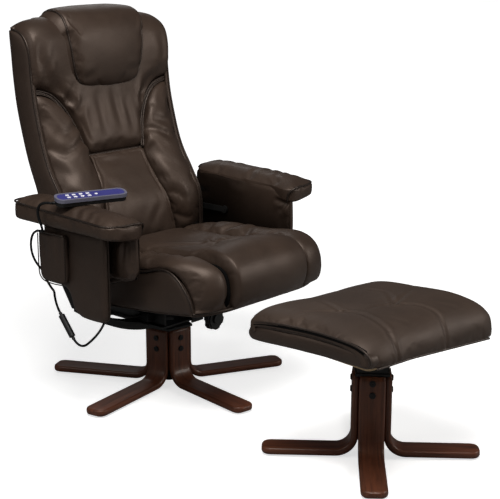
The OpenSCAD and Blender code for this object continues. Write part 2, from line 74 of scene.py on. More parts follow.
SIDES = (("left", 1), ("right", -1))     # name and sign of x
STOOL_X, STOOL_Y, STOOL_TURN = -.045, -.755, math.radians(-6.4)
CLOTH_FRAMES = 16

cloth_jobs = []      # (object, pinned mask, settings)
riders = {}          # object name: body it moves with

# ---------------------------------------------------------------- curves and grids


def distances(points):
    """Length run along a polyline, at each of its points."""
    return np.r_[0, np.cumsum(np.linalg.norm(np.diff(points, axis=0), axis=1))]


def at(points, shares):
    """Points of the polyline at shares (0 to 1) of its length."""
    run = distances(points)
    where = np.asarray(shares) * run[-1]
    return np.stack([np.interp(where, run, column) for column in points.T], 1)


def even(points, count=None, step=.004):
    """The polyline again, evenly spaced."""
    points = np.asarray(points, float)
    count = count or max(3, int(round(distances(points)[-1] / step)) + 1)
    return at(points, np.linspace(0, 1, count))


def smooth_curve(points, count=None, step=.004, closed=False):
    """Catmull-Rom curve through the points, evenly spaced."""
    points = np.asarray(points, float)
    if closed:
        knots = np.vstack([points[-1:], points, points[:2]])
    else:
        knots = np.vstack([2 * points[0] - points[1], points, 2 * points[-1] - points[-2]])
    pieces = 24
    curve = []
    for i in range(1, len(knots) - 2):
        before, start, end, after = knots[i - 1:i + 3]
        for t in np.arange(pieces) / pieces:
            curve.append(.5 * (2 * start + (end - before) * t
                               + (2 * before - 5 * start + 4 * end - after) * t * t
                               + (3 * start - before - 3 * end + after) * t ** 3))
    curve.append(knots[-2])
    return even(curve, count, step)


def spread(count, gather):
    """Shares 0 to 1, closer together near both ends."""
    t = np.linspace(0, 1, count)
    return t - gather / (2 * math.pi) * np.sin(2 * math.pi * t)


def coons(top, bottom, first, last, rows, columns, gather_across=.55, gather_down=.55):
    """Grid spanned between four edge lines; first and last are its outermost columns."""
    share_across, share_down = spread(columns, gather_across), spread(rows, gather_down)
    top, bottom = (at(np.asarray(edge, float), share_across) for edge in (top, bottom))
    first, last = (at(np.asarray(edge, float), share_down) for edge in (first, last))
    u, v = share_across[None, :, None], share_down[:, None, None]
    return ((1 - v) * top[None] + v * bottom[None]
            + (1 - u) * first[:, None] + u * last[:, None]
            - ((1 - u) * (1 - v) * top[0] + u * (1 - v) * top[-1]
               + (1 - u) * v * bottom[0] + u * v * bottom[-1]))


def normals(grid, out):
    """Unit normals of a grid, turned so that the middle one looks towards out."""
    normal = np.cross(np.gradient(grid, axis=1), np.gradient(grid, axis=0))
    normal /= np.linalg.norm(normal, axis=2, keepdims=True) + 1e-12
    facing = (normal * np.asarray(out)).sum(2)
    return normal * np.sign(facing[grid.shape[0] // 2, grid.shape[1] // 2])


def edge_distances(grid):
    """Distance of every grid point to each of the four edges, measured along the grid."""
    across = np.linalg.norm(np.diff(grid, axis=1), axis=2)
    down = np.linalg.norm(np.diff(grid, axis=0), axis=2)
    across = np.concatenate([np.zeros((grid.shape[0], 1)), np.cumsum(across, 1)], 1)
    down = np.concatenate([np.zeros((1, grid.shape[1])), np.cumsum(down, 0)], 0)
    return {"first": across, "last": across[:, -1:] - across, "top": down, "bottom": down[-1:] - down}


def mirror_x(points):
    mirrored = np.array(points, float)
    mirrored[..., 0] *= -1
    return mirrored


# ---------------------------------------------------------------- relief


def roll(distance, radius):
    """Quarter-circle drop: 1 on the edge, 0 from the radius on."""
    t = np.clip(1 - distance / radius, 0, 1)
    return 1 - np.sqrt(np.maximum(0, 1 - t * t))


def ease(start, end, x):
    """Smooth step from 0 at start to 1 at end."""
    t = np.clip((x - start) / (end - start), 0, 1)
    return t * t * (3 - 2 * t)


def arch(start, end, x):
    """Half sine wave between start and end, 0 outside."""
    return np.sin(np.pi * np.clip((x - start) / (end - start), 0, 1))


def dome(share, power):
    """Rises to 1 halfway between the shares 0 and 1."""
    return np.clip(4 * share * (1 - share), 0, 1) ** power


def line_distance(a, b, points):
    """Distance of the points (a, b) to a line, and the share along it."""
    points = smooth_curve(points, step=.006) if len(points) > 2 else even(points, 12)
    nearest = np.full(a.shape, 9.0)
    share = np.zeros(a.shape)
    pieces = len(points) - 1
    for i in range(pieces):
        start, run = points[i], points[i + 1] - points[i]
        t = np.clip(((a - start[0]) * run[0] + (b - start[1]) * run[1]) / (run @ run + 1e-12), 0, 1)
        distance = np.hypot(a - start[0] - t * run[0], b - start[1] - t * run[1])
        closer = distance < nearest
        nearest = np.where(closer, distance, nearest)
        share = np.where(closer, (i + t) / pieces, share)
    return nearest, share


def creases(a, b, fading=(), middle=(), even_depth=()):
    """Height of folds given as (depth, width, points...), with a soft ridge beside each groove.

    Fading folds run out at their last point, middle folds are deepest halfway.
    """
    envelopes = ((fading, lambda share: np.clip(1.25 * (1 - share), 0, 1) ** .8),
                 (middle, lambda share: np.sin(np.pi * np.clip(share, 0, 1)) ** .8),
                 (even_depth, lambda share: 1.0))
    height = np.zeros(a.shape)
    for folds, envelope in envelopes:
        for depth, width, *points in folds:
            distance, share = line_distance(a, b, points)
            strength = depth * envelope(share)
            height -= strength * np.exp(-(distance / width) ** 2)
            height += .45 * strength * np.exp(-((distance - 2.1 * width) / (1.1 * width)) ** 2)
    return height


def ripples(a, b, amplitude, scale, seed):
    """Smooth irregular undulation: the mean of seven waves."""
    draw = np.random.default_rng(seed)
    height = np.zeros(a.shape)
    for _ in range(7):
        angle = draw.uniform(0, 2 * math.pi)
        wave = 2 * math.pi / (scale * draw.uniform(.7, 1.7))
        height += np.sin(wave * (math.cos(angle) * a + math.sin(angle) * b)
                         + draw.uniform(0, 6.28)) / 7
    return height * amplitude


# ---------------------------------------------------------------- shader helpers


def new_material(name):
    material = bpy.data.materials.new(name)
    material.use_nodes = True
    tree = material.node_tree
    return material, tree, next(n for n in tree.nodes if n.type == "BSDF_PRINCIPLED")


def set_inputs(node, values):
    for key, value in values.items():
        node.inputs[key].default_value = value


def object_coords(tree):
    return tree.nodes.new("ShaderNodeTexCoord").outputs["Object"]


def noise(tree, vector, scale, detail=4, roughness=.5, distortion=0.0):
    node = tree.nodes.new("ShaderNodeTexNoise")
    set_inputs(node, {"Scale": scale, "Detail": detail, "Roughness": roughness,
                      "Distortion": distortion})
    tree.links.new(vector, node.inputs["Vector"])
    return node.outputs[0]


def stretched(tree, vector, scale):
    node = tree.nodes.new("ShaderNodeMapping")
    node.inputs["Scale"].default_value = scale
    tree.links.new(vector, node.inputs["Vector"])
    return node.outputs[0]


def ramp(tree, factor, stops):
    """Colour ramp with stops (position, colour)."""
    node = tree.nodes.new("ShaderNodeValToRGB")
    elements = node.color_ramp.elements
    while len(elements) < len(stops):
        elements.new(.5)
    for element, (position, colour) in zip(elements, stops):
        element.position = position
        element.color = (*colour, 1)
    tree.links.new(factor, node.inputs["Fac"])
    return node.outputs["Color"]


def math_node(tree, operation, *values):
    """Math node whose inputs are numbers or sockets."""
    node = tree.nodes.new("ShaderNodeMath")
    node.operation = operation
    for socket, value in zip(node.inputs, values):
        if isinstance(value, (int, float)):
            socket.default_value = value
        else:
            tree.links.new(value, socket)
    return node.outputs[0]


def map_smooth(tree, value, start, end, at_start, at_end):
    node = tree.nodes.new("ShaderNodeMapRange")
    node.interpolation_type = "SMOOTHSTEP"
    set_inputs(node, {"From Min": start, "From Max": end, "To Min": at_start, "To Max": at_end})
    tree.links.new(value, node.inputs["Value"])
    return node.outputs[0]


def multiply_colour(tree, colour, by, factor):
    node = tree.nodes.new("ShaderNodeMix")
    node.data_type = "RGBA"
    node.blend_type = "MULTIPLY"
    node.inputs[0].default_value = factor
    tree.links.new(colour, node.inputs[6])
    tree.links.new(by, node.inputs[7])
    return node.outputs[2]


def vary_roughness(tree, shader, pattern, amount, base):
    rough = math_node(tree, "MULTIPLY_ADD", pattern, amount, base)
    tree.links.new(rough, shader.inputs["Roughness"])


def bump(tree, shader, height, strength, distance, below=None):
    node = tree.nodes.new("ShaderNodeBump")
    set_inputs(node, {"Strength": strength, "Distance": distance})
    tree.links.new(height, node.inputs["Height"])
    if below is not None:
        tree.links.new(below, node.inputs["Normal"])
    tree.links.new(node.outputs[0], shader.inputs["Normal"])
    return node.outputs[0]


# ---------------------------------------------------------------- materials


def leather(name, dark, light, rough, painted_shade=False):
    """Grained leather; the shaded version has shade painted in: its colour and sheen darken low down
    and towards the back.
    """
    material, tree, shader = new_material(name)
    coords = object_coords(tree)
    clouds = noise(tree, coords, scale=7, detail=3, roughness=.55)
    colour = ramp(tree, clouds, [(.30, dark), (.72, light)])
    pores = noise(tree, coords, scale=260, detail=3, roughness=.6)
    pores = ramp(tree, pores, [(.3, (.72, .70, .68)), (.7, (1, 1, 1))])
    colour = multiply_colour(tree, colour, pores, factor=.35)
    if painted_shade:
        # painted shade: colour and sheen fall off low down and towards the back, where the inside of
        # the arm lies in shade
        split = tree.nodes.new("ShaderNodeSeparateXYZ")
        tree.links.new(coords, split.inputs[0])
        upward = map_smooth(tree, split.outputs[2], start=.40, end=.56, at_start=.22, at_end=1.0)
        rearward = map_smooth(tree, split.outputs[1], start=-.15, end=.07, at_start=1.0, at_end=.25)
        shade = math_node(tree, "MULTIPLY", upward, rearward)
        colour = multiply_colour(tree, colour, shade, factor=1.0)
        tree.links.new(math_node(tree, "MULTIPLY", shade, .5), shader.inputs["Specular IOR Level"])
    else:
        shader.inputs["Specular IOR Level"].default_value = .55
    tree.links.new(colour, shader.inputs["Base Color"])
    wear = noise(tree, coords, scale=30, detail=4, roughness=.6)
    vary_roughness(tree, shader, wear, amount=.16, base=rough - .08)
    set_inputs(shader, {"Specular Tint": (1.0, .80, .69, 1), "Coat Weight": .03,
                        "Coat Roughness": .38})
    cells = tree.nodes.new("ShaderNodeTexVoronoi")
    cells.feature = "F1"
    cells.inputs["Scale"].default_value = 420
    tree.links.new(coords, cells.inputs["Vector"])
    grain = bump(tree, shader, cells.outputs["Distance"], strength=.18, distance=.0006)
    bump(tree, shader, noise(tree, coords, scale=55, detail=5, roughness=.6),
         strength=.16, distance=.0018, below=grain)
    return material


def plain(name, colour, rough, vary=.12, grain=300, bump_strength=.08, coat=0.0, specular=.5):
    """Even colour with a slight cloud (vary is its share) and a fine grain."""
    material, tree, shader = new_material(name)
    coords = object_coords(tree)
    clouds = noise(tree, coords, scale=18, detail=4, roughness=.6)
    dark = tuple(c * (1 - vary) for c in colour)
    light = tuple(min(1, c * (1 + vary)) for c in colour)
    tree.links.new(ramp(tree, clouds, [(.3, dark), (.7, light)]), shader.inputs["Base Color"])
    vary_roughness(tree, shader, noise(tree, coords, scale=60, detail=3), amount=.14,
                   base=rough - .07)
    set_inputs(shader, {"Coat Weight": coat, "Coat Roughness": .12,
                        "Specular IOR Level": specular})
    bump(tree, shader, noise(tree, coords, scale=grain, detail=3, roughness=.6),
         strength=bump_strength, distance=.0006)
    return material


def brushed(name, colour, rough):
    """Metal brushed along x."""
    material, tree, shader = new_material(name)
    strokes = stretched(tree, object_coords(tree), (12, 260, 260))
    strokes = noise(tree, strokes, scale=1.0, detail=4, roughness=.6)
    dark = tuple(c * .75 for c in colour)
    tree.links.new(ramp(tree, strokes, [(.25, dark), (.75, colour)]), shader.inputs["Base Color"])
    shader.inputs["Metallic"].default_value = 1.0
    vary_roughness(tree, shader, strokes, amount=.2, base=rough)
    bump(tree, shader, strokes, strength=.1, distance=.0004)
    return material


def wood(name, dark, light, attribute, coat, rough):
    """Wood grained along x of the named attribute, or of the object where there is none."""
    material, tree, shader = new_material(name)
    if attribute:
        node = tree.nodes.new("ShaderNodeAttribute")
        node.attribute_name = attribute
        coords = node.outputs["Vector"]
    else:
        coords = object_coords(tree)
    broad = noise(tree, stretched(tree, coords, (5.0, 90.0, 90.0)), scale=1.0, detail=6,
                  roughness=.62, distortion=.6)
    fine = noise(tree, stretched(tree, coords, (22.0, 900.0, 900.0)), scale=1.0, detail=3,
                 roughness=.6)
    grain = math_node(tree, "MULTIPLY_ADD", fine, .35)
    tree.links.new(math_node(tree, "MULTIPLY", broad, .75), grain.node.inputs[2])
    middle = tuple((a + b) / 2 for a, b in zip(dark, light))
    tree.links.new(ramp(tree, grain, [(.34, dark), (.52, middle), (.70, light)]),
                   shader.inputs["Base Color"])
    set_inputs(shader, {"Roughness": rough, "Coat Weight": coat, "Coat Roughness": .16,
                        "Specular IOR Level": .40, "Specular Tint": (1.0, .86, .76, 1)})
    bump(tree, shader, grain, strength=.10, distance=.0006)
    return material


LEATHER = leather("leather_brown", dark=(.0260, .0160, .0112), light=(.0415, .0262, .0184),
                  rough=.50)
LEATHER_MATT = leather("leather_brown_matt", dark=(.0235, .0148, .0105),
                       light=(.0370, .0235, .0165), rough=.60)
# leather for the inside of the arms, with shade painted in low down and towards the back
LEATHER_INNER_SHADED = leather("leather_brown_inner_shaded", dark=(.0270, .0165, .0115),
                        light=(.0430, .0270, .0190), rough=.50, painted_shade=True)
# darker copy of the same leather for the side, rear and under surfaces: the darker tone is painted
# shade
LEATHER_SIDE_SHADED = leather("leather_brown_side_shaded", dark=(.0215, .0135, .0098),
                       light=(.0330, .0210, .0150), rough=.52)
WELT = leather("leather_welt", dark=(.008, .0052, .004), light=(.016, .0105, .008), rough=.44)
# near-black cloth laid into gaps and grooves as painted shadow
SEAM_SHADOW_CLOTH = plain("seam_shadow_cloth", (.0026, .0024, .0023), rough=.95, vary=.3, grain=500,
                   bump_strength=.3, specular=.08)
CLOTH_UNDER = plain("under_cloth", (.010, .009, .009), rough=.9, vary=.3, grain=500,
                    bump_strength=.3, specular=.2)
WOOD = wood("mahogany", dark=(.022, .0066, .0036), light=(.125, .038, .017), attribute="grain",
            coat=.15, rough=.48)
RUBBER = plain("cable_rubber", (.0035, .0035, .0038), rough=.60, specular=.2)
SLOT_MATERIALS = {
    "wood": WOOD,
    "black_metal": plain("black_metal", (.0060, .0058, .0058), rough=.46, grain=500,
                         bump_strength=.12, specular=.28),
    "steel": brushed("steel", (.55, .55, .57), rough=.26),
    "black_plastic": plain("black_plastic", (.0065, .0065, .0068), rough=.44, grain=700,
                           bump_strength=.15, specular=.35),
    "bush_plastic": plain("bush_plastic", (.72, .70, .62), rough=.5),
    "cable_rubber": RUBBER,
    "leather": LEATHER,
    "webbing": plain("webbing", (.03, .03, .03), rough=.9, grain=900, bump_strength=.4),
    "plywood": wood("plywood", dark=(.42, .29, .16), light=(.66, .48, .28), attribute=None,
                    coat=0.0, rough=.6),
    "silver_plastic": plain("silver_plastic", (.13, .13, .18), rough=.34, vary=.05, coat=.3),
    "blue_face": plain("blue_face", (.040, .042, .20), rough=.30, vary=.10, coat=.4),
    "board_green": plain("board_green", (.03, .2, .07), rough=.5),
    "key_white": plain("key_white", (.80, .80, .86), rough=.35, vary=.04),
}
for row in frame["record"]["subparts"]:
    piece = NODES[row["node"]]
    piece.data.materials.clear()
    piece.data.materials.append(SLOT_MATERIALS[row["material_slot"]])

# ---------------------------------------------------------------- mesh makers


def signed_volume(verts, faces):
    verts = np.asarray(verts)
    total = 0.0
    for face in faces:
        for i in range(1, len(face) - 1):
            total += np.dot(verts[face[0]], np.cross(verts[face[i]], verts[face[i + 1]]))
    return total


def solid(name, verts, faces, body, material, clean=False):
    """Smooth closed mesh facing outwards, moving with the body."""
    if signed_volume(verts, faces) < 0:
        faces = [face[::-1] for face in faces]
    mesh = bpy.data.meshes.new(name)
    mesh.from_pydata([tuple(map(float, v)) for v in verts], [],
                     [tuple(int(i) for i in face) for face in faces])
    if clean:
        bm = bmesh.new()
        bm.from_mesh(mesh)
        bmesh.ops.remove_doubles(bm, verts=bm.verts, dist=1e-6)
        bmesh.ops.recalc_face_normals(bm, faces=bm.faces)
        bm.to_mesh(mesh)
        bm.free()
    mesh.update()
    for polygon in mesh.polygons:
        polygon.use_smooth = True
    mesh.materials.append(material)
    ob = bpy.data.objects.new(name, mesh)
    scene.collection.objects.link(ob)
    riders[ob.name] = body
    return ob


def grid_faces(rows, columns, offset=0, flip=False):
    faces = []
    for i in range(rows - 1):
        for j in range(columns - 1):
            corner = offset + i * columns + j
            quad = (corner, corner + 1, corner + columns + 1, corner + columns)
            faces.append(quad[::-1] if flip else quad)
    return faces


def loft_faces(rings, size):
    """Faces that join rings of equal size and close both ends."""
    faces = []
    for start in range(0, (rings - 1) * size, size):
        for j in range(size):
            after = (j + 1) % size
            faces.append((start + j, start + after, start + size + after, start + size + j))
    faces.append(tuple(range(size))[::-1])
    faces.append(tuple(range((rings - 1) * size, rings * size)))
    return faces


def panel(name, grid, normal, rims, crown, body, relief, back, material=LEATHER, cloth=None):
    """One sewn upholstery panel: a crowned front sheet rolling into its seams, and a back sheet.

    rims gives (radius, depth) of the roll along the top and bottom rows and the first and last
    columns. relief(grid, share across) adds height, back is the depth of the back sheet.
    """
    rows, columns = grid.shape[:2]
    edge = edge_distances(grid)
    height = np.zeros((rows, columns))
    for key, (radius, depth) in rims.items():
        height -= depth * roll(edge[key], radius)
    across = edge["first"] / (edge["first"] + edge["last"] + 1e-9)
    down = edge["top"] / (edge["top"] + edge["bottom"] + 1e-9)
    height += crown * dome(across, .7) * dome(down, .7)
    nearest = np.minimum.reduce(list(edge.values()))
    height += relief(grid, across) * np.clip(nearest / .012, 0, 1)
    front = (grid + normal * height[..., None]).reshape(-1, 3)
    rear = (grid - normal * back).reshape(-1, 3)
    verts = np.vstack([front, rear])
    offset = rows * columns
    faces = grid_faces(rows, columns) + grid_faces(rows, columns, offset, flip=True)
    ids = np.arange(offset).reshape(rows, columns)
    ring = [*ids[0], *ids[1:, -1], *ids[-1, -2::-1], *ids[-2:0:-1, 0]]
    for a, b in zip(ring, ring[1:] + ring[:1]):
        faces.append((b, a, a + offset, b + offset))
    ob = solid(name, verts, faces, body, material)
    if cloth is not None:
        pinned = np.zeros(len(verts), bool)
        pinned[offset:] = True
        pinned[ring] = True
        cloth_jobs.append((ob, pinned, cloth))
    return ob


def tube(name, points, radius, body, material, step=.006, sides=8):
    """Round cord through the points, with tapered ends."""
    line = smooth_curve(points, step=step)
    tangent = np.gradient(line, axis=0)
    tangent /= np.linalg.norm(tangent, axis=1, keepdims=True) + 1e-12
    up = np.array([0, 0, 1.0]) if abs(tangent[0][2]) < .9 else np.array([1.0, 0, 0])
    first = np.cross(tangent[0], up)
    first /= np.linalg.norm(first)
    axes = []
    for along in tangent:
        first = first - along * (first @ along)
        first /= np.linalg.norm(first)
        axes.append((first.copy(), np.cross(along, first)))
    axes = [axes[0], *axes, axes[-1]]
    tip = radius * .7
    centres = [line[0] - tangent[0] * tip, *line, line[-1] + tangent[-1] * tip]
    radii = [radius * .5, *[radius] * len(line), radius * .5]
    verts = []
    for centre, size, (a, b) in zip(centres, radii, axes):
        for j in range(sides):
            angle = 2 * math.pi * j / sides
            verts.append(centre + size * (math.cos(angle) * a + math.sin(angle) * b))
    return solid(name, verts, loft_faces(len(centres), sides), body, material)


def welt(name, points, radius, body, step=.006):
    return tube(name, points, radius, body, WELT, step)


def rounded_box(low, high, radius, step, corner=5):
    """Vertices and faces of a box whose edges are rounded by radius on each axis."""
    low, high, radius = (np.asarray(a, float) * np.ones(3) for a in (low, high, radius))
    stations = []
    for k in range(3):
        inset = radius[k] * (1 - np.tan(np.linspace(math.pi / 4, 0, corner + 1)))[:-1]
        flat = max(1, int(round((high[k] - low[k] - 2 * radius[k]) / step)))
        stations.append(np.r_[low[k] + inset,
                              np.linspace(low[k] + radius[k], high[k] - radius[k], flat + 1),
                              (high[k] - inset)[::-1]])
    verts, faces, known = [], [], {}

    def vertex(point):
        key = tuple(np.round(point, 7))
        if key not in known:
            known[key] = len(verts)
            verts.append(point)
        return known[key]

    for k in range(3):
        a, b = (k + 1) % 3, (k + 2) % 3
        for is_high, level in enumerate((low[k], high[k])):
            ids = np.zeros((len(stations[a]), len(stations[b])), int)
            for i, first in enumerate(stations[a]):
                for j, second in enumerate(stations[b]):
                    point = np.zeros(3)
                    point[k], point[a], point[b] = level, first, second
                    ids[i, j] = vertex(point)
            for i in range(ids.shape[0] - 1):
                for j in range(ids.shape[1] - 1):
                    quad = (ids[i, j], ids[i + 1, j], ids[i + 1, j + 1], ids[i, j + 1])
                    faces.append(quad if is_high else quad[::-1])
    verts = np.array(verts)
    core = np.clip(verts, low + radius, high - radius)
    offset = (verts - core) / radius
    length = np.linalg.norm(offset, axis=1, keepdims=True)
    verts = np.where(length > 1e-9, core + radius * offset / np.maximum(length, 1e-9), verts)
    return verts, faces


def board(name, outline, x_start, x_end, body, voxel, soften, shape=None):
    """Upholstered board: outline (y, z) between two x planes, with softened edges."""
    count = len(outline)
    verts = [(x_start, *p) for p in outline] + [(x_end, *p) for p in outline]
    faces = [tuple(range(count)), tuple(range(2 * count - 1, count - 1, -1))]
    faces += [(i, (i + 1) % count, count + (i + 1) % count, count + i) for i in range(count)]
    ob = solid(name, verts, faces, body, LEATHER_SIDE_SHADED)
    remesh = ob.modifiers.new("remesh", "REMESH")
    remesh.mode = "VOXEL"
    remesh.voxel_size = voxel
    remesh.use_smooth_shade = True
    bpy.context.view_layer.update()
    depsgraph = bpy.context.evaluated_depsgraph_get()
    mesh = bpy.data.meshes.new_from_object(ob.evaluated_get(depsgraph))
    ob.modifiers.clear()
    bm = bmesh.new()
    bm.from_mesh(mesh)
    for _ in range(soften):
        bmesh.ops.smooth_vert(bm, verts=bm.verts, factor=.5,
                              use_axis_x=True, use_axis_y=True, use_axis_z=True)
    if shape is not None:
        for v, place in zip(bm.verts, shape(np.array([v.co for v in bm.verts]))):
            v.co = place
    bm.to_mesh(mesh)
    bm.free()
    outline_mesh = ob.data
    ob.data = mesh
    bpy.data.meshes.remove(outline_mesh)
    mesh.name = name
    for polygon in mesh.polygons:
        polygon.use_smooth = True
    if not mesh.materials:      # the remeshed copy may come without its material
        mesh.materials.append(LEATHER_SIDE_SHADED)
    return ob


# ---------------------------------------------------------------- bent wooden legs

LEG_HALF_THICK = .009
LEG_BEND = .047          # radius of the bend, on the middle of the board
LEG_LOW = .013           # height of the middle of the lying part
LEG_TIP = .034           # last stretch, with closer stations
LEG_EDGE = .0062         # rounding of the long edges
LEG_CORNER = .024        # rounding of the tip, seen from above
LEG_NOSE = .010          # length over which the tip thins


def leg_path(inner, top, reach):
    """Middle line of the leg as (distance from the column axis, z)."""
    bend_x, bend_z = inner + LEG_BEND, LEG_LOW + LEG_BEND
    path = [(inner, z) for z in np.linspace(top, bend_z, 14)]
    path += [(bend_x - LEG_BEND * math.cos(a), bend_z - LEG_BEND * math.sin(a))
             for a in np.linspace(0, math.pi / 2, 15)[1:]]
    path += [(x, LEG_LOW) for x in np.linspace(bend_x, reach - LEG_TIP, 20)[1:]]
    path += [(reach - LEG_TIP * (1 - math.sin(a)), LEG_LOW)
             for a in np.linspace(0, math.pi / 2, 10)[1:]]
    return np.array(path)


def bent_leg(name, centre, turn, outer, top, reach, width, body):
    """One board bent through 90 degrees: rises beside the column, curves out to a rounded tip."""
    path = leg_path(outer - LEG_HALF_THICK, top, reach)
    run = distances(path)
    tangent = np.gradient(path, axis=0)
    tangent /= np.linalg.norm(tangent, axis=1, keepdims=True) + 1e-12
    tangent[-3:] = tangent[-4]
    verts, grain = [], []
    for i, (place, along) in enumerate(zip(path, tangent)):
        half_width, half_thick = width / 2, LEG_HALF_THICK
        left = run[-1] - run[i]
        if left < LEG_CORNER:
            half_width += math.sqrt(max(0, LEG_CORNER ** 2 - (LEG_CORNER - left) ** 2)) - LEG_CORNER
        if left < LEG_NOSE:
            half_thick *= .42 + .58 * math.sqrt(max(0, 1 - (1 - left / LEG_NOSE) ** 2))
        if i == 0:
            half_width, half_thick = half_width - .0018, half_thick - .0018
        edge = min(LEG_EDGE, half_thick * .85)
        for sign_y, sign_h, start in ((1, 1, 0), (-1, 1, 90), (-1, -1, 180), (1, -1, 270)):
            for angle in np.radians(np.linspace(start, start + 90, 6)):
                y = sign_y * (half_width - edge) + edge * math.cos(angle)
                h = sign_h * (half_thick - edge) + edge * math.sin(angle)
                verts.append((place[0] - along[1] * h, y, place[1] + along[0] * h))
                grain.append((run[i], y, h))
    x, y, z = np.array(verts).T
    cos, sin = math.cos(turn), math.sin(turn)
    turned = np.stack([x * cos - y * sin + centre[0], x * sin + y * cos + centre[1], z], 1)
    ob = solid(name, turned, loft_faces(len(path), len(verts) // len(path)), body, WOOD)
    attribute = ob.data.attributes.new("grain", "FLOAT_VECTOR", "POINT")
    shift = rng.uniform(0, 5, 3)
    attribute.data.foreach_set("vector", (np.array(grain) + shift).astype(np.float32).ravel())
    return ob


chair_legs = [bent_leg(f"chair_leg_{i + 1}", (0, 0), math.radians(45.67 + 72 * i), outer=.059,
                       top=.168, reach=.352, width=.065, body="base") for i in range(5)]
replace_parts(chair_legs[0], "base_legs")
stool_legs = [bent_leg(f"stool_leg_{i + 1}", (STOOL_X, STOOL_Y),
                       STOOL_TURN + math.radians(45 + 90 * i), outer=.049,
                       top=.218, reach=.270, width=.064, body="footstool") for i in range(4)]
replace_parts(stool_legs[0], "stool_legs")

# ---------------------------------------------------------------- backrest surfaces

BACK_HALF = .262         # half width of the back
BACK_FOOT = .392         # z of its lower edge
PILE_CLOTH = dict(pressure=2.2, shrink=-.012, bend=1.0, cap=.005)

# (y, z) of the front and rear of the back, seen from the side
front_line = smooth_curve([
    (.106, .388), (.110, .500), (.145, .569), (.196, .655), (.233, .780), (.246, .868),
    (.250, .936), (.258, .985), (.270, 1.010), (.290, 1.024), (.312, 1.029), (.334, 1.030),
], step=.003)
rear_line = smooth_curve([
    (.192, .388), (.222, .500), (.244, .569), (.279, .655), (.313, .780), (.326, .868),
    (.331, .936), (.335, .985), (.336, 1.020),
], step=.003)


def blur(values, reach):
    window = np.hanning(2 * reach + 1)
    return np.convolve(np.pad(values, reach, mode="edge"), window / window.sum(), mode="valid")


rear_z = np.linspace(.36, 1.02, 331)
rear_y = blur(np.interp(rear_z, rear_line[:, 1], rear_line[:, 0]), 9)
# front coordinate q: equal to z up to .96, then the length run over the top
top_start = int(np.argmax(front_line[:, 1] > .96))
line_q = np.r_[front_line[:top_start, 1],
               front_line[top_start, 1] + distances(front_line[top_start:])]
Q_TOP = float(line_q[-1])
front_q = np.linspace(.37, Q_TOP, 380)
front_y = blur(np.interp(front_q, line_q, front_line[:, 0]), 7)
front_z = np.interp(front_q, line_q, front_line[:, 1])


def y_front(q):
    return np.interp(q, front_q, front_y)


def z_front(q):
    return np.interp(q, front_q, front_z)


def y_rear(z):
    return np.interp(z, rear_z, rear_y)


def corner_drop(x, z):
    """How far the top corners lie below the middle."""
    return .026 * np.clip((np.abs(x) - .165) / .10, 0, 1.2) ** 2.4 * ease(.94, 1.01, z)


def on_back_front(points):
    """Place and outward normal of the front for points (x, q)."""
    x, q = points[..., 0], points[..., 1]
    below, above = np.clip(q - .004, .37, Q_TOP), np.clip(q + .004, .37, Q_TOP)
    rise_y, rise_z = y_front(above) - y_front(below), z_front(above) - z_front(below)
    normal = np.stack([np.zeros_like(x), -rise_z, rise_y], -1)
    normal /= np.linalg.norm(normal, axis=-1, keepdims=True)
    z = z_front(q)
    return np.stack([x, y_front(q), z - corner_drop(x, z)], -1), normal


# (x, q) of the seam between the upper panel and the left bolster, from the side inwards
seam_line = smooth_curve([(.262, .838), (.228, .834), (.19, .818), (.155, .780), (.129, .728),
                          (.112, .672), (.106, .655)], 60)
along_seam = np.gradient(seam_line, axis=0)
along_seam /= np.linalg.norm(along_seam, axis=1, keepdims=True)
seam_up = np.stack([along_seam[:, 1], -along_seam[:, 0]], 1)     # towards the upper panel


def beside_seam(offset, inset=0.0):
    """The seam line shifted towards the upper panel, kept inside the side of the back."""
    line = seam_line + seam_up * offset
    line[:, 0] = np.minimum(line[:, 0], BACK_HALF - inset)
    return line


seam_above, seam_below = beside_seam(.007), beside_seam(-.007)

# ---------------------------------------------------------------- backrest front panels


def upper_relief(grid, across):
    x, z = grid[..., 0], grid[..., 2]
    height = creases(x, z, middle=[
        (.003, .013, (-.045, .83), (-.040, .76), (-.030, .69)),
        (.0026, .011, (.012, .84), (.020, .77), (.030, .70)),
        (.003, .010, (.052, .80), (.066, .74), (.070, .69)),
        (.0018, .012, (-.085, .80), (-.078, .75), (-.085, .70)),
        (.005, .012, (-.226, .98), (-.236, .93), (-.228, .88)),
        (.003, .009, (-.207, .93), (-.219, .885), (-.214, .855)),
        (.0026, .012, (.215, .97), (.222, .92), (.214, .875)),
    ], fading=[      # gathers at the ends of the double seam
        (.006, .010, (-.140, .800), (-.172, .842), (-.190, .868)),
        (.0042, .009, (-.150, .795), (-.128, .838), (-.115, .856)),
        (.003, .009, (-.175, .828), (-.205, .856)),
        (.0028, .009, (-.120, .775), (-.088, .812)),
        (.0075, .011, (.138, .800), (.175, .842), (.240, .858)),
        (.005, .010, (.128, .785), (.140, .828), (.165, .870)),
        (.0035, .009, (.125, .775), (.100, .820)),
    ])
    shoulder = ease(.12, .20, np.abs(x)) * ease(.835, .90, z)
    height += .012 * shoulder * (1 - .75 * ease(.97, 1.02, z))
    height -= .006 * ease(.15, 0, np.abs(x)) * ease(.82, .90, z)     # room for the head pillow
    return height + ripples(x, z, amplitude=.0011, scale=.09, seed=3)


def upper_panel():
    """Shoulders and centre in one piece."""
    side = np.array([(BACK_HALF - .004, Q_TOP), (BACK_HALF - .001, Q_TOP - .03),
                     (BACK_HALF, Q_TOP - .07), (BACK_HALF, .95), (BACK_HALF, .90),
                     seam_above[0]])
    top = [(-(BACK_HALF - .004), Q_TOP), (BACK_HALF - .004, Q_TOP)]
    bottom = np.vstack([mirror_x(seam_above), seam_above[::-1]])
    grid, normal = on_back_front(coons(top, bottom, mirror_x(side), side, 84, 96, .30, .30))
    return panel("back_upper_panel", grid, normal,
                 dict(first=(.034, .014), last=(.034, .014), top=(.020, .007), bottom=(.026, .015)),
                 crown=.012, body="back", relief=upper_relief, back=.027, cloth=PILE_CLOTH)


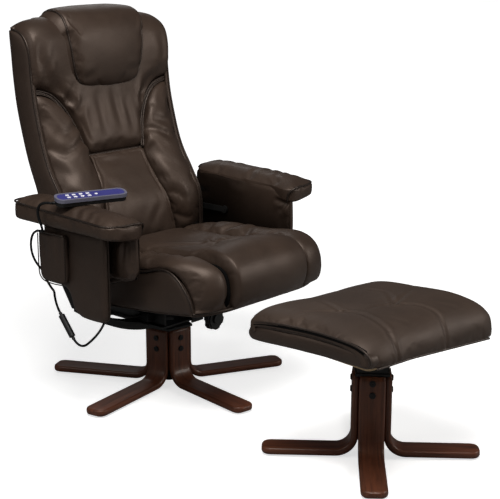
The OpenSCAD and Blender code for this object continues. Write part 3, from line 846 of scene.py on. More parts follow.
def lumbar_relief(grid, across):
    x, z = grid[..., 0], grid[..., 2]
    height = creases(x, z, middle=[
        (.0022, .010, (-.092, .635), (-.040, .628), (.02, .634)),
        (.0018, .012, (-.10, .58), (-.06, .56), (-.03, .52)),
        (.0022, .012, (.10, .50), (.07, .47), (.05, .43)),
    ])
    return height - .0085 + ripples(x, z, amplitude=.0008, scale=.12, seed=5)


LUMBAR_TOP = .6535


def lumbar_panel():
    side = smooth_curve([(.101, LUMBAR_TOP), (.104, .600), (.114, .540), (.128, .480),
                         (.145, .420), (.150, BACK_FOOT)], 40)
    grid, normal = on_back_front(coons([(-.101, LUMBAR_TOP), (.101, LUMBAR_TOP)],
                                       [(-.150, BACK_FOOT), (.150, BACK_FOOT)],
                                       mirror_x(side), side, 60, 52))
    panel("back_lumbar_panel", grid, normal,
          dict(first=(.008, .006), last=(.008, .006), top=(.016, .012), bottom=(.02, .012)),
          crown=.002, body="back", relief=lumbar_relief, back=.036, cloth=PILE_CLOTH)


def bolster_relief(side):
    fading = [
        (.006, .012, (.140, .735), (.185, .715), (.225, .722)),
        (.0078, .012, (.128, .705), (.170, .672), (.215, .662)),
        (.0055, .011, (.124, .690), (.150, .640), (.165, .600)),
        (.005, .012, (.118, .640), (.150, .590), (.190, .565)),
        (.0048, .012, (.250, .770), (.225, .735), (.215, .690)),
        (.0045, .011, (.254, .700), (.228, .668), (.205, .650)),
        (.0048, .012, (.254, .640), (.225, .605), (.190, .590)),
        (.004, .012, (.252, .560), (.222, .540), (.180, .545)),
        (.0038, .010, (.135, .520), (.165, .500), (.195, .505)),
        (.004, .010, (.150, .450), (.180, .440), (.215, .448)),
        (.0035, .010, (.250, .470), (.225, .462), (.200, .470)),
    ]
    middle = []
    if side > 0:
        fading += [(.0095, .0105, (.126, .722), (.150, .712), (.205, .705)),
                   (.006, .009, (.126, .700), (.160, .690), (.190, .670))]
        middle = [(.0035, .008, (.150, .535), (.158, .500), (.160, .455))]

    def relief(grid, across):
        x, z = grid[..., 0] * side, grid[..., 2]
        height = .75 * creases(x, z, fading, middle)
        height += ripples(x, z, amplitude=.0014, scale=.060, seed=9 + side)
        # a bolster stands proud of the lumbar panel, most at mid height
        return height + .008 * arch(.39, .82, z) ** .7 * dome(across, .6)
    return relief


def back_bolsters():
    turn = 50        # the first stations of the seam bound the top, the rest the inner edge
    inner = smooth_curve(np.vstack([seam_below[turn - 1:turn + 6:3], [
        (.109, .640), (.1115, .590), (.122, .530), (.137, .468), (.152, .410),
        (.157, BACK_FOOT)]]), 70)
    outer = [(BACK_HALF, seam_below[0][1]), (BACK_HALF - .007, .80), (BACK_HALF - .011, .74),
             (BACK_HALF - .012, .60), (BACK_HALF - .011, .48), (BACK_HALF - .006, BACK_FOOT)]
    flat = coons(seam_below[:turn], [(BACK_HALF - .006, BACK_FOOT), (.157, BACK_FOOT)],
                 outer, inner, 84, 44, .5, .3)
    for name, side in SIDES:
        grid, normal = on_back_front(flat if side > 0 else mirror_x(flat))
        panel("back_bolster_" + name, grid, normal,
              dict(first=(.044, .020), last=(.040, .019), top=(.028, .014), bottom=(.03, .012)),
              crown=.024, body="back", relief=bolster_relief(side), back=.036, cloth=PILE_CLOTH)


def back_front_welts():
    """Double welt above each bolster with the bed under it, and the seam above the lumbar panel."""
    for name, side in SIDES:
        for number, offset in ((1, .0042), (2, -.0042)):
            line = beside_seam(offset, inset=.007)
            depth = .0095 + .003 * np.clip(1 - (BACK_HALF - line[:, 0]) / .03, 0, 1) ** 2
            points, normal = on_back_front(line * [side, 1])
            welt(f"back_welt_{name}_{number}", points - normal * depth[:, None], .0032, "back")
        points, normal = on_back_front(beside_seam(0, inset=.009) * [side, 1])
        welt(f"back_welt_bed_{name}", points - normal * .0165, .0075, "back")
    points, normal = on_back_front(np.array([(x, LUMBAR_TOP) for x in np.linspace(-.104, .104, 15)]))
    welt("back_lumbar_seam", points - normal * .015, .005, "back")


back_front = upper_panel()
lumbar_panel()
back_bolsters()
back_front_welts()

# ---------------------------------------------------------------- backrest sides and rear


def back_boxing():
    """Side strips between the front seam, which runs back over the shoulder, and the rear seam."""
    q = np.r_[np.linspace(BACK_FOOT, .93, 46), np.linspace(.94, Q_TOP - .004, 22)]
    z = z_front(q)
    front = np.stack([BACK_HALF - .0015 + 0 * q, y_front(q) + .004,
                      z - corner_drop(BACK_HALF, z) - .003], 1)
    over_top = (q - .93) / (Q_TOP - .004 - .93)
    z = np.where(q > .93, .93 + .072 * over_top, front[:, 2])
    rear = np.stack([BACK_HALF + .002 + 0 * q, y_rear(np.minimum(1.0, z)) - .003, z], 1)
    half = front[:, None] + (rear - front)[:, None] * spread(15, .5)[:, None]

    def relief(grid, across):
        return .004 * np.sin(np.pi * across) + ripples(grid[..., 2], grid[..., 1],
                                                       amplitude=.0009, scale=.11, seed=21)
    for name, side in SIDES:
        grid = half * [side, 1, 1]
        normal = np.zeros_like(grid)
        normal[..., 0] = side
        panel("back_boxing_" + name, grid, normal,
              dict(first=(.010, .004), last=(.010, .004), top=(.01, 0), bottom=(.008, .003)),
              crown=0, body="back", relief=relief, back=.014, material=LEATHER_SIDE_SHADED)
        for end, line, shift in (("front", front, (-.0014, .0004, 0)),
                                 ("rear", rear, (-.0034, -.0010, 0))):
            welt(f"back_seam_{end}_{name}", ((line + shift) * [side, 1, 1])[::2], .0032, "back",
                 step=.008)


def back_rear_cover():
    edge = np.array([(BACK_HALF - .026, 1.014), (BACK_HALF - .010, 1.004), (BACK_HALF - .003, .985),
                     (BACK_HALF - .002, .93), (BACK_HALF - .002, .80), (BACK_HALF - .002, .60),
                     (BACK_HALF - .002, BACK_FOOT)])
    top = np.array([(BACK_HALF - .026, 1.014), (.20, 1.0215), (.12, 1.025), (0, 1.0255)])
    flat = coons(np.vstack([mirror_x(top), top[::-1][1:]]),
                 [(-(BACK_HALF - .002), BACK_FOOT), (BACK_HALF - .002, BACK_FOOT)],
                 mirror_x(edge), edge, 62, 52, .4, .4)
    z = np.clip(flat[..., 1], .36, 1.02)
    slope = (y_rear(np.minimum(z + .004, 1.02)) - y_rear(z - .004)) / .008
    normal = np.stack([np.zeros_like(z), np.ones_like(z), -slope], -1)
    normal /= np.linalg.norm(normal, axis=-1, keepdims=True)
    grid = np.stack([flat[..., 0], y_rear(z) - .004, flat[..., 1]], -1)
    return panel("back_rear_panel", grid, normal,
                 dict.fromkeys(("first", "last", "top", "bottom"), (.014, .006)),
                 crown=.005, body="back", back=.014, material=LEATHER_SIDE_SHADED,
                 relief=lambda g, across: ripples(g[..., 0], g[..., 2], .0014, .12, seed=31),
                 cloth=dict(pressure=1.6, shrink=-.012, bend=.8, cap=.005))


def back_top_finish():
    """Piping along the top, the folded leather under its corners and the lining inside."""
    y_top = y_rear(1.0)
    welt("back_seam_top", [(x, y_top - .002, 1.0262 - corner_drop(x, 1.02) * .95)
                           for x in np.linspace(-BACK_HALF + .006, BACK_HALF - .006, 41)],
         .0024, "back", step=.008)
    corner_x = BACK_HALF - .0085
    for name, side in SIDES:
        points = [(side * x, y_top - .0085, 1.0205 - corner_drop(x, 1.02) * .95)
                  for x in np.linspace(.200, corner_x, 9)]
        points += [(side * corner_x, y_rear(z) - .0095, z)
                   for z in np.linspace(min(points[-1][2] - .010, .985), .945, 4)]
        tube("back_corner_fold_" + name, points, .0068, "back", LEATHER_SIDE_SHADED)
    for name, side in SIDES:
        verts, faces = rounded_box((.085, 0, 0), (.244, .040, 1), (.02, .008, .03), step=.03)
        x, depth, share = verts.T
        z = .41 + share * (.582 - corner_drop(x, 1.02) * 1.2)
        y = np.minimum(y_front(np.minimum(z, .985)) + .030, .272) + depth
        solid("back_lining_" + name, np.stack([x * side, y, z], 1), faces, "back",
              LEATHER_SIDE_SHADED, clean=True)


back_boxing()
back_rear = back_rear_cover()
back_top_finish()
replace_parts(back_front, "back_cushion")
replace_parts(back_rear, "back_rear_cover")

# ---------------------------------------------------------------- head pillow

PILLOW_ROWS, PILLOW_COLUMNS = 70, 60


def pillow_front(outline, half_width):
    """Crowned and creased front sheet over the outline (y, z)."""
    shares = spread(PILLOW_COLUMNS, .6)
    grid = np.zeros((PILLOW_ROWS, PILLOW_COLUMNS, 3))
    grid[..., 0] = (2 * shares - 1) * half_width[:, None]
    grid[..., 1:] = outline[:, None]
    edge = edge_distances(grid)
    height = -.003 * roll(edge["first"], .010) - .003 * roll(edge["last"], .010)
    height -= .006 * roll(edge["top"], .020) + .006 * roll(edge["bottom"], .014)
    down = np.repeat(np.linspace(0, 1, PILLOW_ROWS)[:, None], PILLOW_COLUMNS, 1)
    height += .0165 * dome(shares, .62) * dome(down, .45) * (1 - .55 * ease(.45, .75, down))
    x, run = grid[..., 0], down * .30
    height += ripples(x, run, amplitude=.0009, scale=.10, seed=41)
    height += creases(x, run, middle=[
        (.003, .010, (-.13, .05), (-.09, .035), (-.05, .04)),
        (.003, .010, (.13, .06), (.09, .045), (.05, .05)),
    ], fading=[
        (.003, .009, (-.14, .14), (-.12, .11)),
        (.003, .009, (.14, .15), (.12, .12)),
    ])
    return grid + normals(grid, (0, -1, .3)) * height[..., None]


def head_pillow():
    """The pillow drapes over the top of the back; rows run from its lower edge up and over."""
    outer = smooth_curve([
        (.243, .838), (.232, .842), (.2255, .862), (.2235, .905), (.225, .955), (.2315, 1.000),
        (.246, 1.032), (.270, 1.048), (.298, 1.0525), (.323, 1.049), (.341, 1.036),
        (.3465, 1.014)], PILLOW_ROWS)
    inner = smooth_curve([
        (.246, .840), (.2440, .850), (.2450, .880), (.2480, .935), (.254, .980), (.264, 1.004),
        (.280, 1.0225), (.298, 1.0290), (.318, 1.0300), (.332, 1.026), (.3390, 1.012)],
        PILLOW_ROWS)
    half_width = np.interp(outer[:, 1],
                           [.836, .842, .850, .862, .880, .905, .935, 1.010, 1.062],
                           [.074, .088, .101, .110, .119, .126, .131, .139, .142])
    half_width[35:] = np.maximum(half_width[35:], .141)
    back_half = half_width + np.interp(outer[:, 1], [.84, .90, 1.0, 1.06],
                                       [.010, .014, .024, .026])
    front = pillow_front(outer, half_width)
    rows = []
    for sheet, half, (y, z) in zip(front, back_half, inner):
        right, left = np.array([half, y, z]), np.array([-half, y, z])
        shares = np.linspace(0, 1, 8)[1:]
        puff = [np.array([.004 * math.sin(math.pi * t), 0, 0]) for t in shares]
        side_a = [sheet[-1] + (right - sheet[-1]) * t + p for t, p in zip(shares, puff)]
        inside = [np.array([x, y, z]) for x in np.linspace(half, -half, 26)[1:]]
        side_b = [left + (sheet[0] - left) * t - p for t, p in zip(shares[:-1], puff)]
        rows.append(np.vstack([sheet, side_a, inside, side_b]))
    rows = np.array(rows)
    size = rows.shape[1]
    ob = solid("head_pillow_cover", rows.reshape(-1, 3), loft_faces(PILLOW_ROWS, size), "back",
               LEATHER)
    pinned = np.ones((PILLOW_ROWS, size), bool)
    pinned[1:-1, 1:PILLOW_COLUMNS - 1] = False
    cloth_jobs.append((ob, pinned.ravel(), dict(pressure=2.4, shrink=-.014, bend=.8, cap=.006)))
    rim = np.vstack([front[:0:-1, 0] - [.0012, 0, 0], front[0, 1:-1],
                     front[1:, -1] + [.0012, 0, 0]])
    welt("head_pillow_piping", rim[::2], .0028, "back", step=.007)
    return ob


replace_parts(head_pillow(), "head_pillow")

# ---------------------------------------------------------------- seat surfaces

GROOVE = .147            # x of the groove between the centre and a bolster
SEAT_EDGE = .2475        # x of the outer edge of a bolster
SEAT_SIDE = .25          # x of the outside of a side panel
SEAT_OUT = (0, -.3, 1)
SEAT_ROWS = 104
SEAT_CLOTH = dict(pressure=2.2, shrink=-.012, bend=.9, cap=.005)

# (y, z) of the seat surface from its rear edge forwards and down the front
seat_profile = smooth_curve([
    (.098, .398), (.090, .412), (.05, .4165), (0, .419), (-.10, .425), (-.20, .434),
    (-.28, .446), (-.325, .450), (-.358, .443), (-.382, .424), (-.393, .395), (-.3935, .365),
    (-.387, .342), (-.377, .3240), (-.368, .3200),
], step=.003)
seat_run = distances(seat_profile)
SEAT_LENGTH = seat_run[-1]

# y, z on the profile and y, z of the outer edge beside it
SEAT_EDGE_TABLE = np.array([
    (.098, .398, .094, .388), (.05, .4165, .04, .3900), (-.10, .425, -.09, .3950),
    (-.20, .434, -.173, .4055), (-.28, .446, -.215, .4175), (-.325, .450, -.242, .4205),
    (-.358, .443, -.268, .4160), (-.382, .424, -.292, .4020), (-.393, .395, -.314, .3800),
    (-.3935, .365, -.330, .3560), (-.387, .342, -.3385, .3360), (-.368, .3200, -.3390, .3210),
])
edge_run = np.array([seat_run[int(np.argmin(np.hypot(*(seat_profile - place).T)))]
                     for place in SEAT_EDGE_TABLE[:, :2]])


def on_seat(x, run):
    return np.stack([x, np.interp(run, seat_run, seat_profile[:, 0]),
                     np.interp(run, seat_run, seat_profile[:, 1])], -1)


def run_at_y(y):
    """Run along the profile where it passes y, before it turns down the front."""
    upper = seat_run <= .52
    return np.interp(-y, -seat_profile[upper][:, 0], seat_run[upper])


def bow(points):
    """The front of the seat curves back towards both sides, and its sides are lower."""
    x, y, z = points[..., 0], points[..., 1], points[..., 2]
    outward = np.clip((np.abs(x) - .125) / .125, 0, 1)
    front = ease(-.16, -.36, y)
    return np.stack([x, y + .040 * outward ** 2.2 * front,
                     z - (.012 + .010 * front) * outward ** 2 * ease(.34, .40, z)], -1)


def seat_grid(run, first_x, last_x, columns, bolster=False):
    """Grid on the seat; each x bound is one value or one per row."""
    shape = (SEAT_ROWS, columns)
    first_x, last_x = np.reshape(first_x, (-1, 1)), np.reshape(last_x, (-1, 1))
    x = np.broadcast_to(first_x + (last_x - first_x) * spread(columns, .5)[None], shape)
    run = np.broadcast_to(run[:, None], shape)
    grid = bow(on_seat(np.minimum(x, GROOVE + .002) if bolster else x, run))
    if bolster:
        # the surface curves over from the groove to the piping of the side panel
        outward = np.clip((x - GROOVE) / (SEAT_EDGE - GROOVE), 0, 1)
        over = 1 - np.clip(1 - outward ** 2.3, 0, 1) ** (1 / 2.3)
        edge = np.stack([x, np.interp(run, edge_run, SEAT_EDGE_TABLE[:, 2]),
                         np.interp(run, edge_run, SEAT_EDGE_TABLE[:, 3])], -1)
        grid = grid + (edge - grid) * over[..., None]
        grid[..., 0] = x
    return grid


# ---------------------------------------------------------------- seat cushion


def seat_centre_relief(grid, across):
    x, y = grid[..., 0], grid[..., 1]
    height = creases(x, y, middle=[
        (.0075, .012, (-.128, -.050), (-.069, -.100), (-.02, -.150), (.022, -.178)),
    ], fading=[
        (.007, .012, (.022, -.178), (.070, -.205), (.128, -.210)),
        (.006, .010, (.022, -.178), (.026, -.225), (.060, -.262)),
        (.0055, .011, (.022, -.178), (-.030, -.205), (-.085, -.215)),
        (.006, .012, (.022, -.178), (.050, -.130), (.100, -.100)),
        (.0035, .009, (-.125, -.235), (-.095, -.262), (-.075, -.290)),
        (.0035, .009, (.130, -.262), (.095, -.278), (.060, -.300)),
    ])
    height += ripples(x, y, amplitude=.0012, scale=.10, seed=51)
    # the roll at the front is the fullest place, the middle sinks
    height += .010 * ease(-.20, -.33, y) * dome(across, .35)
    return height - .012 * np.exp(-(((y + .14) / .09) ** 2 + ((x - .01) / .11) ** 2))


def seat_centre():
    grid = seat_grid(SEAT_LENGTH * spread(SEAT_ROWS, .2), -(GROOVE - .004), GROOVE - .0015, 60)
    return panel("seat_centre_panel", grid, normals(grid, SEAT_OUT),
                 dict(first=(.015, .034), last=(.016, .013), top=(.03, .02), bottom=(.012, .004)),
                 crown=.010, body="seat", relief=seat_centre_relief, back=.040, cloth=SEAT_CLOTH)


def seat_bolster_relief(side, hump, front_drop):
    def relief(grid, across):
        x, y = grid[..., 0] * side, grid[..., 1]
        height = creases(x, y, fading=[
            (.006, .012, (.160, -.080), (.200, -.105), (.240, -.100)),
            (.0055, .012, (.160, -.160), (.190, -.150), (.225, -.165)),
            (.0035, .011, (.240, -.130), (.225, -.140), (.200, -.130)),
            (.003, .011, (.240, -.060), (.225, -.055), (.200, -.065)),
            (.0045, .012, (.160, -.010), (.195, .000), (.230, -.008)),
            (.0035, .010, (.162, -.245), (.185, -.262), (.215, -.258)),
        ])
        height += ripples(x, y, amplitude=.0012, scale=.08, seed=61 + side)
        height += hump * np.exp(-(((y + .06) / .10) ** 2)) * dome(across, .6)
        return height - front_drop * ease(-.27, -.345, y)
    return relief


def seat_bolster(name, side, gap, groove_rim, hump, front_drop):
    """gap is the bolster's distance from the groove line where the seat turns down."""
    start, end = .004, SEAT_LENGTH - .002
    run = start + (end - start) * spread(SEAT_ROWS, .2)
    widest = np.exp(-((run - run_at_y(-.36)) / .075) ** 2)
    grid = seat_grid(run, SEAT_EDGE, GROOVE + gap * (.35 + .65 * widest), 34, bolster=True)
    if side < 0:
        grid = mirror_x(grid)
    panel("seat_bolster_" + name, grid, normals(grid, SEAT_OUT),
          dict(first=(.012, .003), last=groove_rim, top=(.03, .02), bottom=(.010, .004)),
          crown=.010, body="seat", relief=seat_bolster_relief(side, hump, front_drop),
          back=.040, cloth=SEAT_CLOTH)


def seat_groove_tape():
    """Near-black strip at the bottom of the open groove between the centre and the right bolster:
    painted shadow in the groove.
    """
    count = 34
    run = np.linspace(float(run_at_y(-.215)), SEAT_LENGTH - .006, count)
    line = bow(on_seat(np.full(count, -(GROOVE + .003)), run))
    strip = np.stack([line - [.01, 0, 0], line + [.01, 0, 0]], 1)
    depth = .0165 + .006 * np.sin(np.pi * np.linspace(0, 1, count))
    depth[-6:] = np.linspace(.0175, .012, 6)
    tube("seat_groove_tape", line - normals(strip, SEAT_OUT)[:, 0] * depth[:, None], .006, "seat",
         SEAM_SHADOW_CLOTH)


seat_cushion = seat_centre()
seat_bolster("left", 1, gap=-.004, groove_rim=(.016, .012), hump=.012, front_drop=.001)
seat_bolster("right", -1, gap=.0095, groove_rim=(.030, .034), hump=.005, front_drop=.010)
seat_groove_tape()


def seat_sides():
    """Side panels of the seat with piping above and a hem below; outlines are (y, z)."""
    top = smooth_curve([
        (.094, .388), (.03, .390), (-.05, .392), (-.12, .397), (-.173, .4055), (-.210, .4165),
        (-.240, .4210), (-.268, .4160), (-.292, .4020), (-.314, .3800), (-.330, .3560),
        (-.340, .3330)], step=.006)
    bottom = [(-.343, .3190), (-.338, .3170), (-.263, .307), (-.189, .2985), (-.093, .290),
              (-.017, .2835), (.094, .280)]
    for name, side in SIDES:
        def puff(points, side=side):
            x, y, z = points.T
            x = x * side
            full = .003 * arch(-.34, .09, y) ** .7 * arch(.285, .405, z)
            return np.stack([side * (x + full * np.clip((x - .236) / .012, 0, 1)), y, z], 1)

        board("seat_side_" + name, np.vstack([top, bottom]), side * .22, side * SEAT_SIDE, "seat",
              voxel=.0055, soften=6, shape=puff)
        welt("seat_piping_" + name,
             [(side * (SEAT_SIDE - .0012), y - .0006, z + .0014) for y, z in top[::2]],
             .0028, "seat")
        welt("seat_hem_" + name, [(side * (SEAT_SIDE - .004), y, z + .0012) for y, z in bottom[1:]],
             .0022, "seat", step=.01)


def seat_under_cloth():
    verts, faces = rounded_box((-.236, -.366, 0), (.236, .086, .012), (.03, .03, .005), step=.03)
    x, y, z = verts.T
    z += np.interp(y, [-.372, -.12, .094], [.3120, .291, .2835])
    y += .030 * np.clip((np.abs(x) - .12) / .12, 0, 1) ** 2 * ease(-.2, -.36, y)
    solid("seat_under_cloth", verts, faces, "seat", CLOTH_UNDER, clean=True)


def seat_box(name, low, high, radius, step, bowed=False):
    verts, faces = rounded_box(low, high, radius, step)
    solid(name, bow(verts) if bowed else verts, faces, "seat", LEATHER_SIDE_SHADED, clean=True)


seat_sides()
seat_under_cloth()
welt("seat_hem_front", bow(np.array([(x, -.3750, .3215) for x in np.linspace(-.243, .243, 25)])),
     .003, "seat")
seat_box("seat_rear_band", (-.246, .072, .292), (.246, .092, .392), (.02, .007, .012), step=.02)
# flap under the foot of the back: closes the gap when the back reclines
seat_box("seat_rear_flap", (-.226, .078, .3705), (.226, .1365, .3850), (.016, .012, .006),
         step=.015)
# facing below the front roll
seat_box("seat_front_facing", (-.243, -.3700, .3110), (.243, -.350, .3400), (.010, .006, .004),
         step=.012, bowed=True)
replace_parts(seat_cushion, "seat_cushion")

# ---------------------------------------------------------------- arms
# Shapes are drawn for the left arm: inner is towards the seat (low x), outer away from it.

PAD_LOW = (.2945, -.2120, .5165)
PAD_HIGH = (.4050, .1770, .5650)
PAD_CORNER = .034
PAD_TILT = .0087         # how far each end of the pad lies above or below its middle


def arm_pad(name, side):
    (x0, y0, z0), (x1, y1, z1) = PAD_LOW, PAD_HIGH
    verts, faces = rounded_box(PAD_LOW, PAD_HIGH, (PAD_CORNER, .036, .011), step=.0075, corner=7)
    x, y, z = verts.T
    across = (x - (x0 + x1) / 2) / ((x1 - x0) / 2)       # -1 inner to 1 outer
    along = (y - (y0 + y1) / 2) / ((y1 - y0) / 2)        # -1 front to 1 rear
    top = np.clip((z - (z1 - .011)) / .011, 0, 1)
    z += top * .0145 * np.clip(1 - across ** 2, 0, 1) ** .6 * np.clip(1 - along ** 4, 0, 1) ** .7
    z += np.clip((z - z0) / (z1 - z0), 0, 1) * .0065 * along + .0022 * along
    # the inner edge is a soft roll
    z -= top * np.clip(-across, 0, 1) ** 3 * .008
    # the front swells down and inwards
    front = ease(-.55, -1.0, along)
    z -= ((1 - top) * (1 - np.clip((z - z0) / (z1 - z0), 0, 1)) * .012 * front
          * np.clip(.6 - .6 * across, 0, 1))
    x -= .012 * front * np.clip(-across, 0, 1) ** 1.5
    y -= .010 * front ** 2 * np.clip(.5 - .5 * across, 0, 1)
    side_swell = .0022 * arch(z0, z1, z)
    x += np.where(np.abs(across) > .6, np.sign(across), 0) * side_swell
    y -= front ** 4 * side_swell
    z += top * (creases(x, y, fading=[
        (.005, .0085, (.392, -.120), (.372, -.105), (.350, -.112)),
        (.0048, .0085, (.396, -.085), (.374, -.070), (.345, -.078)),
        (.0036, .0075, (.398, -.150), (.380, -.138), (.362, -.142)),
        (.004, .008, (.303, -.150), (.322, -.128), (.345, -.130)),
        (.0035, .009, (.302, -.050), (.325, -.040), (.350, -.048)),
        (.0035, .009, (.398, .060), (.375, .072), (.350, .066)),
        (.003, .009, (.302, .080), (.325, .092), (.350, .086)),
        (.003, .009, (.398, .130), (.372, .125), (.350, .132)),
    ]) + ripples(x, y, amplitude=.0010, scale=.08, seed=71))
    x *= side
    ob = solid("arm_pad_cover_" + name, verts, faces, "mechanism", LEATHER)
    level = z - PAD_TILT * along
    pinned = (level < z0 + .006) | ((np.abs(level - z1) < .005)
                                    & ((across > .9) | (along < -.93)))
    cloth_jobs.append((ob, pinned, dict(pressure=2.0, shrink=-.008, bend=1.2, cap=.0022)))
    return ob


def arm_pad_piping(name, side):
    """Piping along the outer top edge, round the front and down the inner front corner."""
    (x0, y0, z0), (x1, y1, z1) = PAD_LOW, PAD_HIGH
    middle_x, middle_y = (x0 + x1) / 2, (y0 + y1) / 2
    corner, off = PAD_CORNER, .0004
    run = [(x1 + off, y) for y in np.linspace(y1 - .036, y0 + corner + .006, 16)]
    run += [(x1 - corner + (corner + off) * math.cos(a), y0 + corner - (corner + off) * math.sin(a))
            for a in np.linspace(.2, math.pi / 2 - .1, 6)]
    run += [(x, y0 - off - .010 * np.clip(.5 - .5 * (x - middle_x) / ((x1 - x0) / 2), 0, 1))
            for x in np.linspace(x1 - corner - .006, x0 + .030, 7)]
    points = [(x, y, z1 - .0035 + PAD_TILT * (y - middle_y) / ((y1 - y0) / 2)) for x, y in run]
    points += [(x0 + .010, y0 - .009, z1 - .014), (x0 - .003, y0 - .002, z1 - .0215),
               (x0 - .008, y0 + .006, z0 + .016), (x0 - .006, y0 + .012, z0 - .004)]
    welt("arm_pad_piping_" + name, np.array(points) * [side, 1, 1], .0026, "mechanism", step=.005)
    rear = [(x1 + off, y1 - .036, z1 + .0035), (x1 - .008, y1 - .010, z1 + .0045),
            (x1 - .030, y1 + .0002, z1 + .005), (x0 + .036, y1 + .0002, z1 + .0045),
            (x0 + .010, y1 - .010, z1 + .001)]
    welt("arm_pad_piping_rear_" + name, np.array(rear) * [side, 1, 1], .0026, "mechanism",
         step=.005)


def arm_outer_panel(name, side):
    """Padded board under the outer edge of the pad, with a seam down its front."""
    outline = smooth_curve([
        (-.150, .505), (-.1505, .42), (-.1500, .308), (-.142, .289), (-.125, .2825),
        (-.094, .2815), (-.067, .2825), (-.044, .289), (-.028, .301), (-.019, .323),
        (-.012, .343), (.002, .355), (.028, .3585), (.068, .359), (.080, .365), (.0845, .383),
        (.085, .45), (.085, .505)], step=.007)
    outline = np.vstack([outline, [(.085, .5160), (-.150, .5160)]])

    def bulge(points):
        x, y, z = points.T
        x = x * side
        full = .0035 * arch(-.150, .085, y) * arch(.283, .513, z)
        full = full + ripples(y, z, amplitude=.0012, scale=.09, seed=81)
        return np.stack([side * (x + np.clip((x - .363) / .010, 0, 1) * full), y, z], 1)

    ob = board("arm_outer_cover_" + name, outline, side * .3515, side * .3725, "mechanism",
               voxel=.0055, soften=6, shape=bulge)
    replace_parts(ob, "arm_panel_outer_" + name)
    seam = [(-.1508, .512), (-.1512, .42), (-.1508, .315), (-.143, .2915), (-.1255, .2835)]
    welt("arm_outer_seam_" + name, [(side * .3550, y, z) for y, z in seam], .0022, "mechanism")


def arm_inner_core(name, side):
    outline = smooth_curve([
        (-.206, .505), (-.2085, .46), (-.2085, .425), (-.201, .405), (-.186, .394), (-.150, .386),
        (-.078, .366), (.02, .3625), (.124, .3615), (.143, .377), (.149, .43), (.150, .505)],
        step=.008)
    outline = np.vstack([outline, [(.150, .5190), (-.205, .5170)]])
    ob = board("arm_inner_core_" + name, outline, side * .2965, side * .3155, "mechanism",
               voxel=.006, soften=6)
    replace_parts(ob, "arm_panel_inner_" + name)


def arm_inner_relief(grid, across):
    y, z = grid[..., 1], grid[..., 2]
    return creases(y, z, fading=[
        (.010, .0085, (-.203, .512), (-.180, .508), (-.150, .512)),
        (.0075, .008, (-.203, .505), (-.185, .490), (-.165, .480)),
        (.006, .008, (-.203, .520), (-.180, .530), (-.150, .536)),
        (.005, .010, (.160, .500), (.130, .495), (.100, .505)),
    ], middle=[
        (.004, .008, (-.200, .470), (-.190, .440), (-.192, .415)),
        (.0035, .008, (-.188, .480), (-.176, .445), (-.178, .412)),
        (.0025, .011, (-.060, .548), (-.020, .540), (.030, .547)),
    ]) + ripples(y, z, amplitude=.0010, scale=.10, seed=91)


def arm_inner_cover(name, side):
    """Leather that runs from the top of the pad down the inside to the seat."""
    profile = smooth_curve([      # (x, z)
        (.330, .5530), (.316, .5560), (.303, .5540), (.2955, .5470), (.2932, .530),
        (.2925, .490), (.2925, .440), (.2945, .405), (.2960, .388)], step=.003)
    lower = smooth_curve([        # (y, z)
        (-.2040, .404), (-.186, .393), (-.150, .385), (-.078, .365), (.02, .362), (.124, .361),
        (.150, .372)], step=.004)
    rows, columns, hinge = 58, 74, .53       # below the hinge the profile stretches to the edge
    x, z = at(profile, spread(rows, .25)).T
    grid = np.zeros((rows, columns, 3))
    for j, y in enumerate(-.2060 + (.1700 + .2060) * spread(columns, .5)):
        foot = np.interp(y, lower[:, 0], lower[:, 1])
        scaled = np.where(z < hinge, hinge - (hinge - z) * (hinge - foot) / (hinge - .388), z)
        tilt = .008 * (y + .018) / .195 * ease(.50, .55, z)
        grid[:, j] = np.stack([x, y + 0 * x, scaled + tilt], 1)
    if side < 0:
        grid = mirror_x(grid)
    panel("arm_inner_cover_" + name, grid, normals(grid, (-side, 0, .2)),
          dict(first=(.014, .010), last=(.014, .010), top=(.02, .003), bottom=(.014, .008)),
          crown=.0045, body="mechanism", relief=arm_inner_relief, back=.004,
          material=LEATHER_INNER_SHADED, cloth=dict(pressure=2.0, shrink=-.010, bend=1.0, cap=.0020))


def arm_outside_relief(grid, across):
    y, z = grid[..., 1], grid[..., 2]
    return creases(y, z, fading=[
        (.004, .007, (-.176, .510), (-.172, .470), (-.168, .420)),
        (.0032, .006, (-.190, .508), (-.192, .465), (-.188, .425)),
        (.003, .007, (-.158, .508), (-.150, .475), (-.152, .440)),
        (.0026, .008, (-.135, .508), (-.128, .470), (-.132, .440)),
    ]) + ripples(y, z, amplitude=.0010, scale=.05, seed=95)


def arm_inner_outside(name, side):
    """Side of the inner panel that faces outwards, full and softly folded."""
    flat = coons([(-.2035, .512), (-.03, .512)], [(-.190, .3965), (-.03, .3665)],
                 [(-.2035, .512), (-.2080, .450), (-.2070, .420), (-.190, .3965)],
                 [(-.03, .512), (-.03, .3665)], 44, 46, .5, .5)
    grid = np.stack([np.full(flat.shape[:2], side * .3150), flat[..., 0], flat[..., 1]], -1)
    normal = np.zeros_like(grid)
    normal[..., 0] = side
    panel("arm_inner_outside_" + name, grid, normal,
          dict(first=(.022, .013), last=(.022, .013), top=(.012, .004), bottom=(.016, .010)),
          crown=.0115, body="mechanism", relief=arm_outside_relief, back=.008,
          cloth=dict(pressure=2.0, shrink=-.02, bend=.5, cap=.004))


for side_name, side_sign in SIDES:
    pad = arm_pad(side_name, side_sign)
    arm_pad_piping(side_name, side_sign)
    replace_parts(pad, "arm_pad_" + side_name)
    arm_outer_panel(side_name, side_sign)
    arm_inner_core(side_name, side_sign)
    arm_inner_cover(side_name, side_sign)
    arm_inner_outside(side_name, side_sign)

# ---------------------------------------------------------------- side pocket

POCKET_SHIFT = np.array([.020, .018, -.0067])    # from where the pocket is drawn to its place


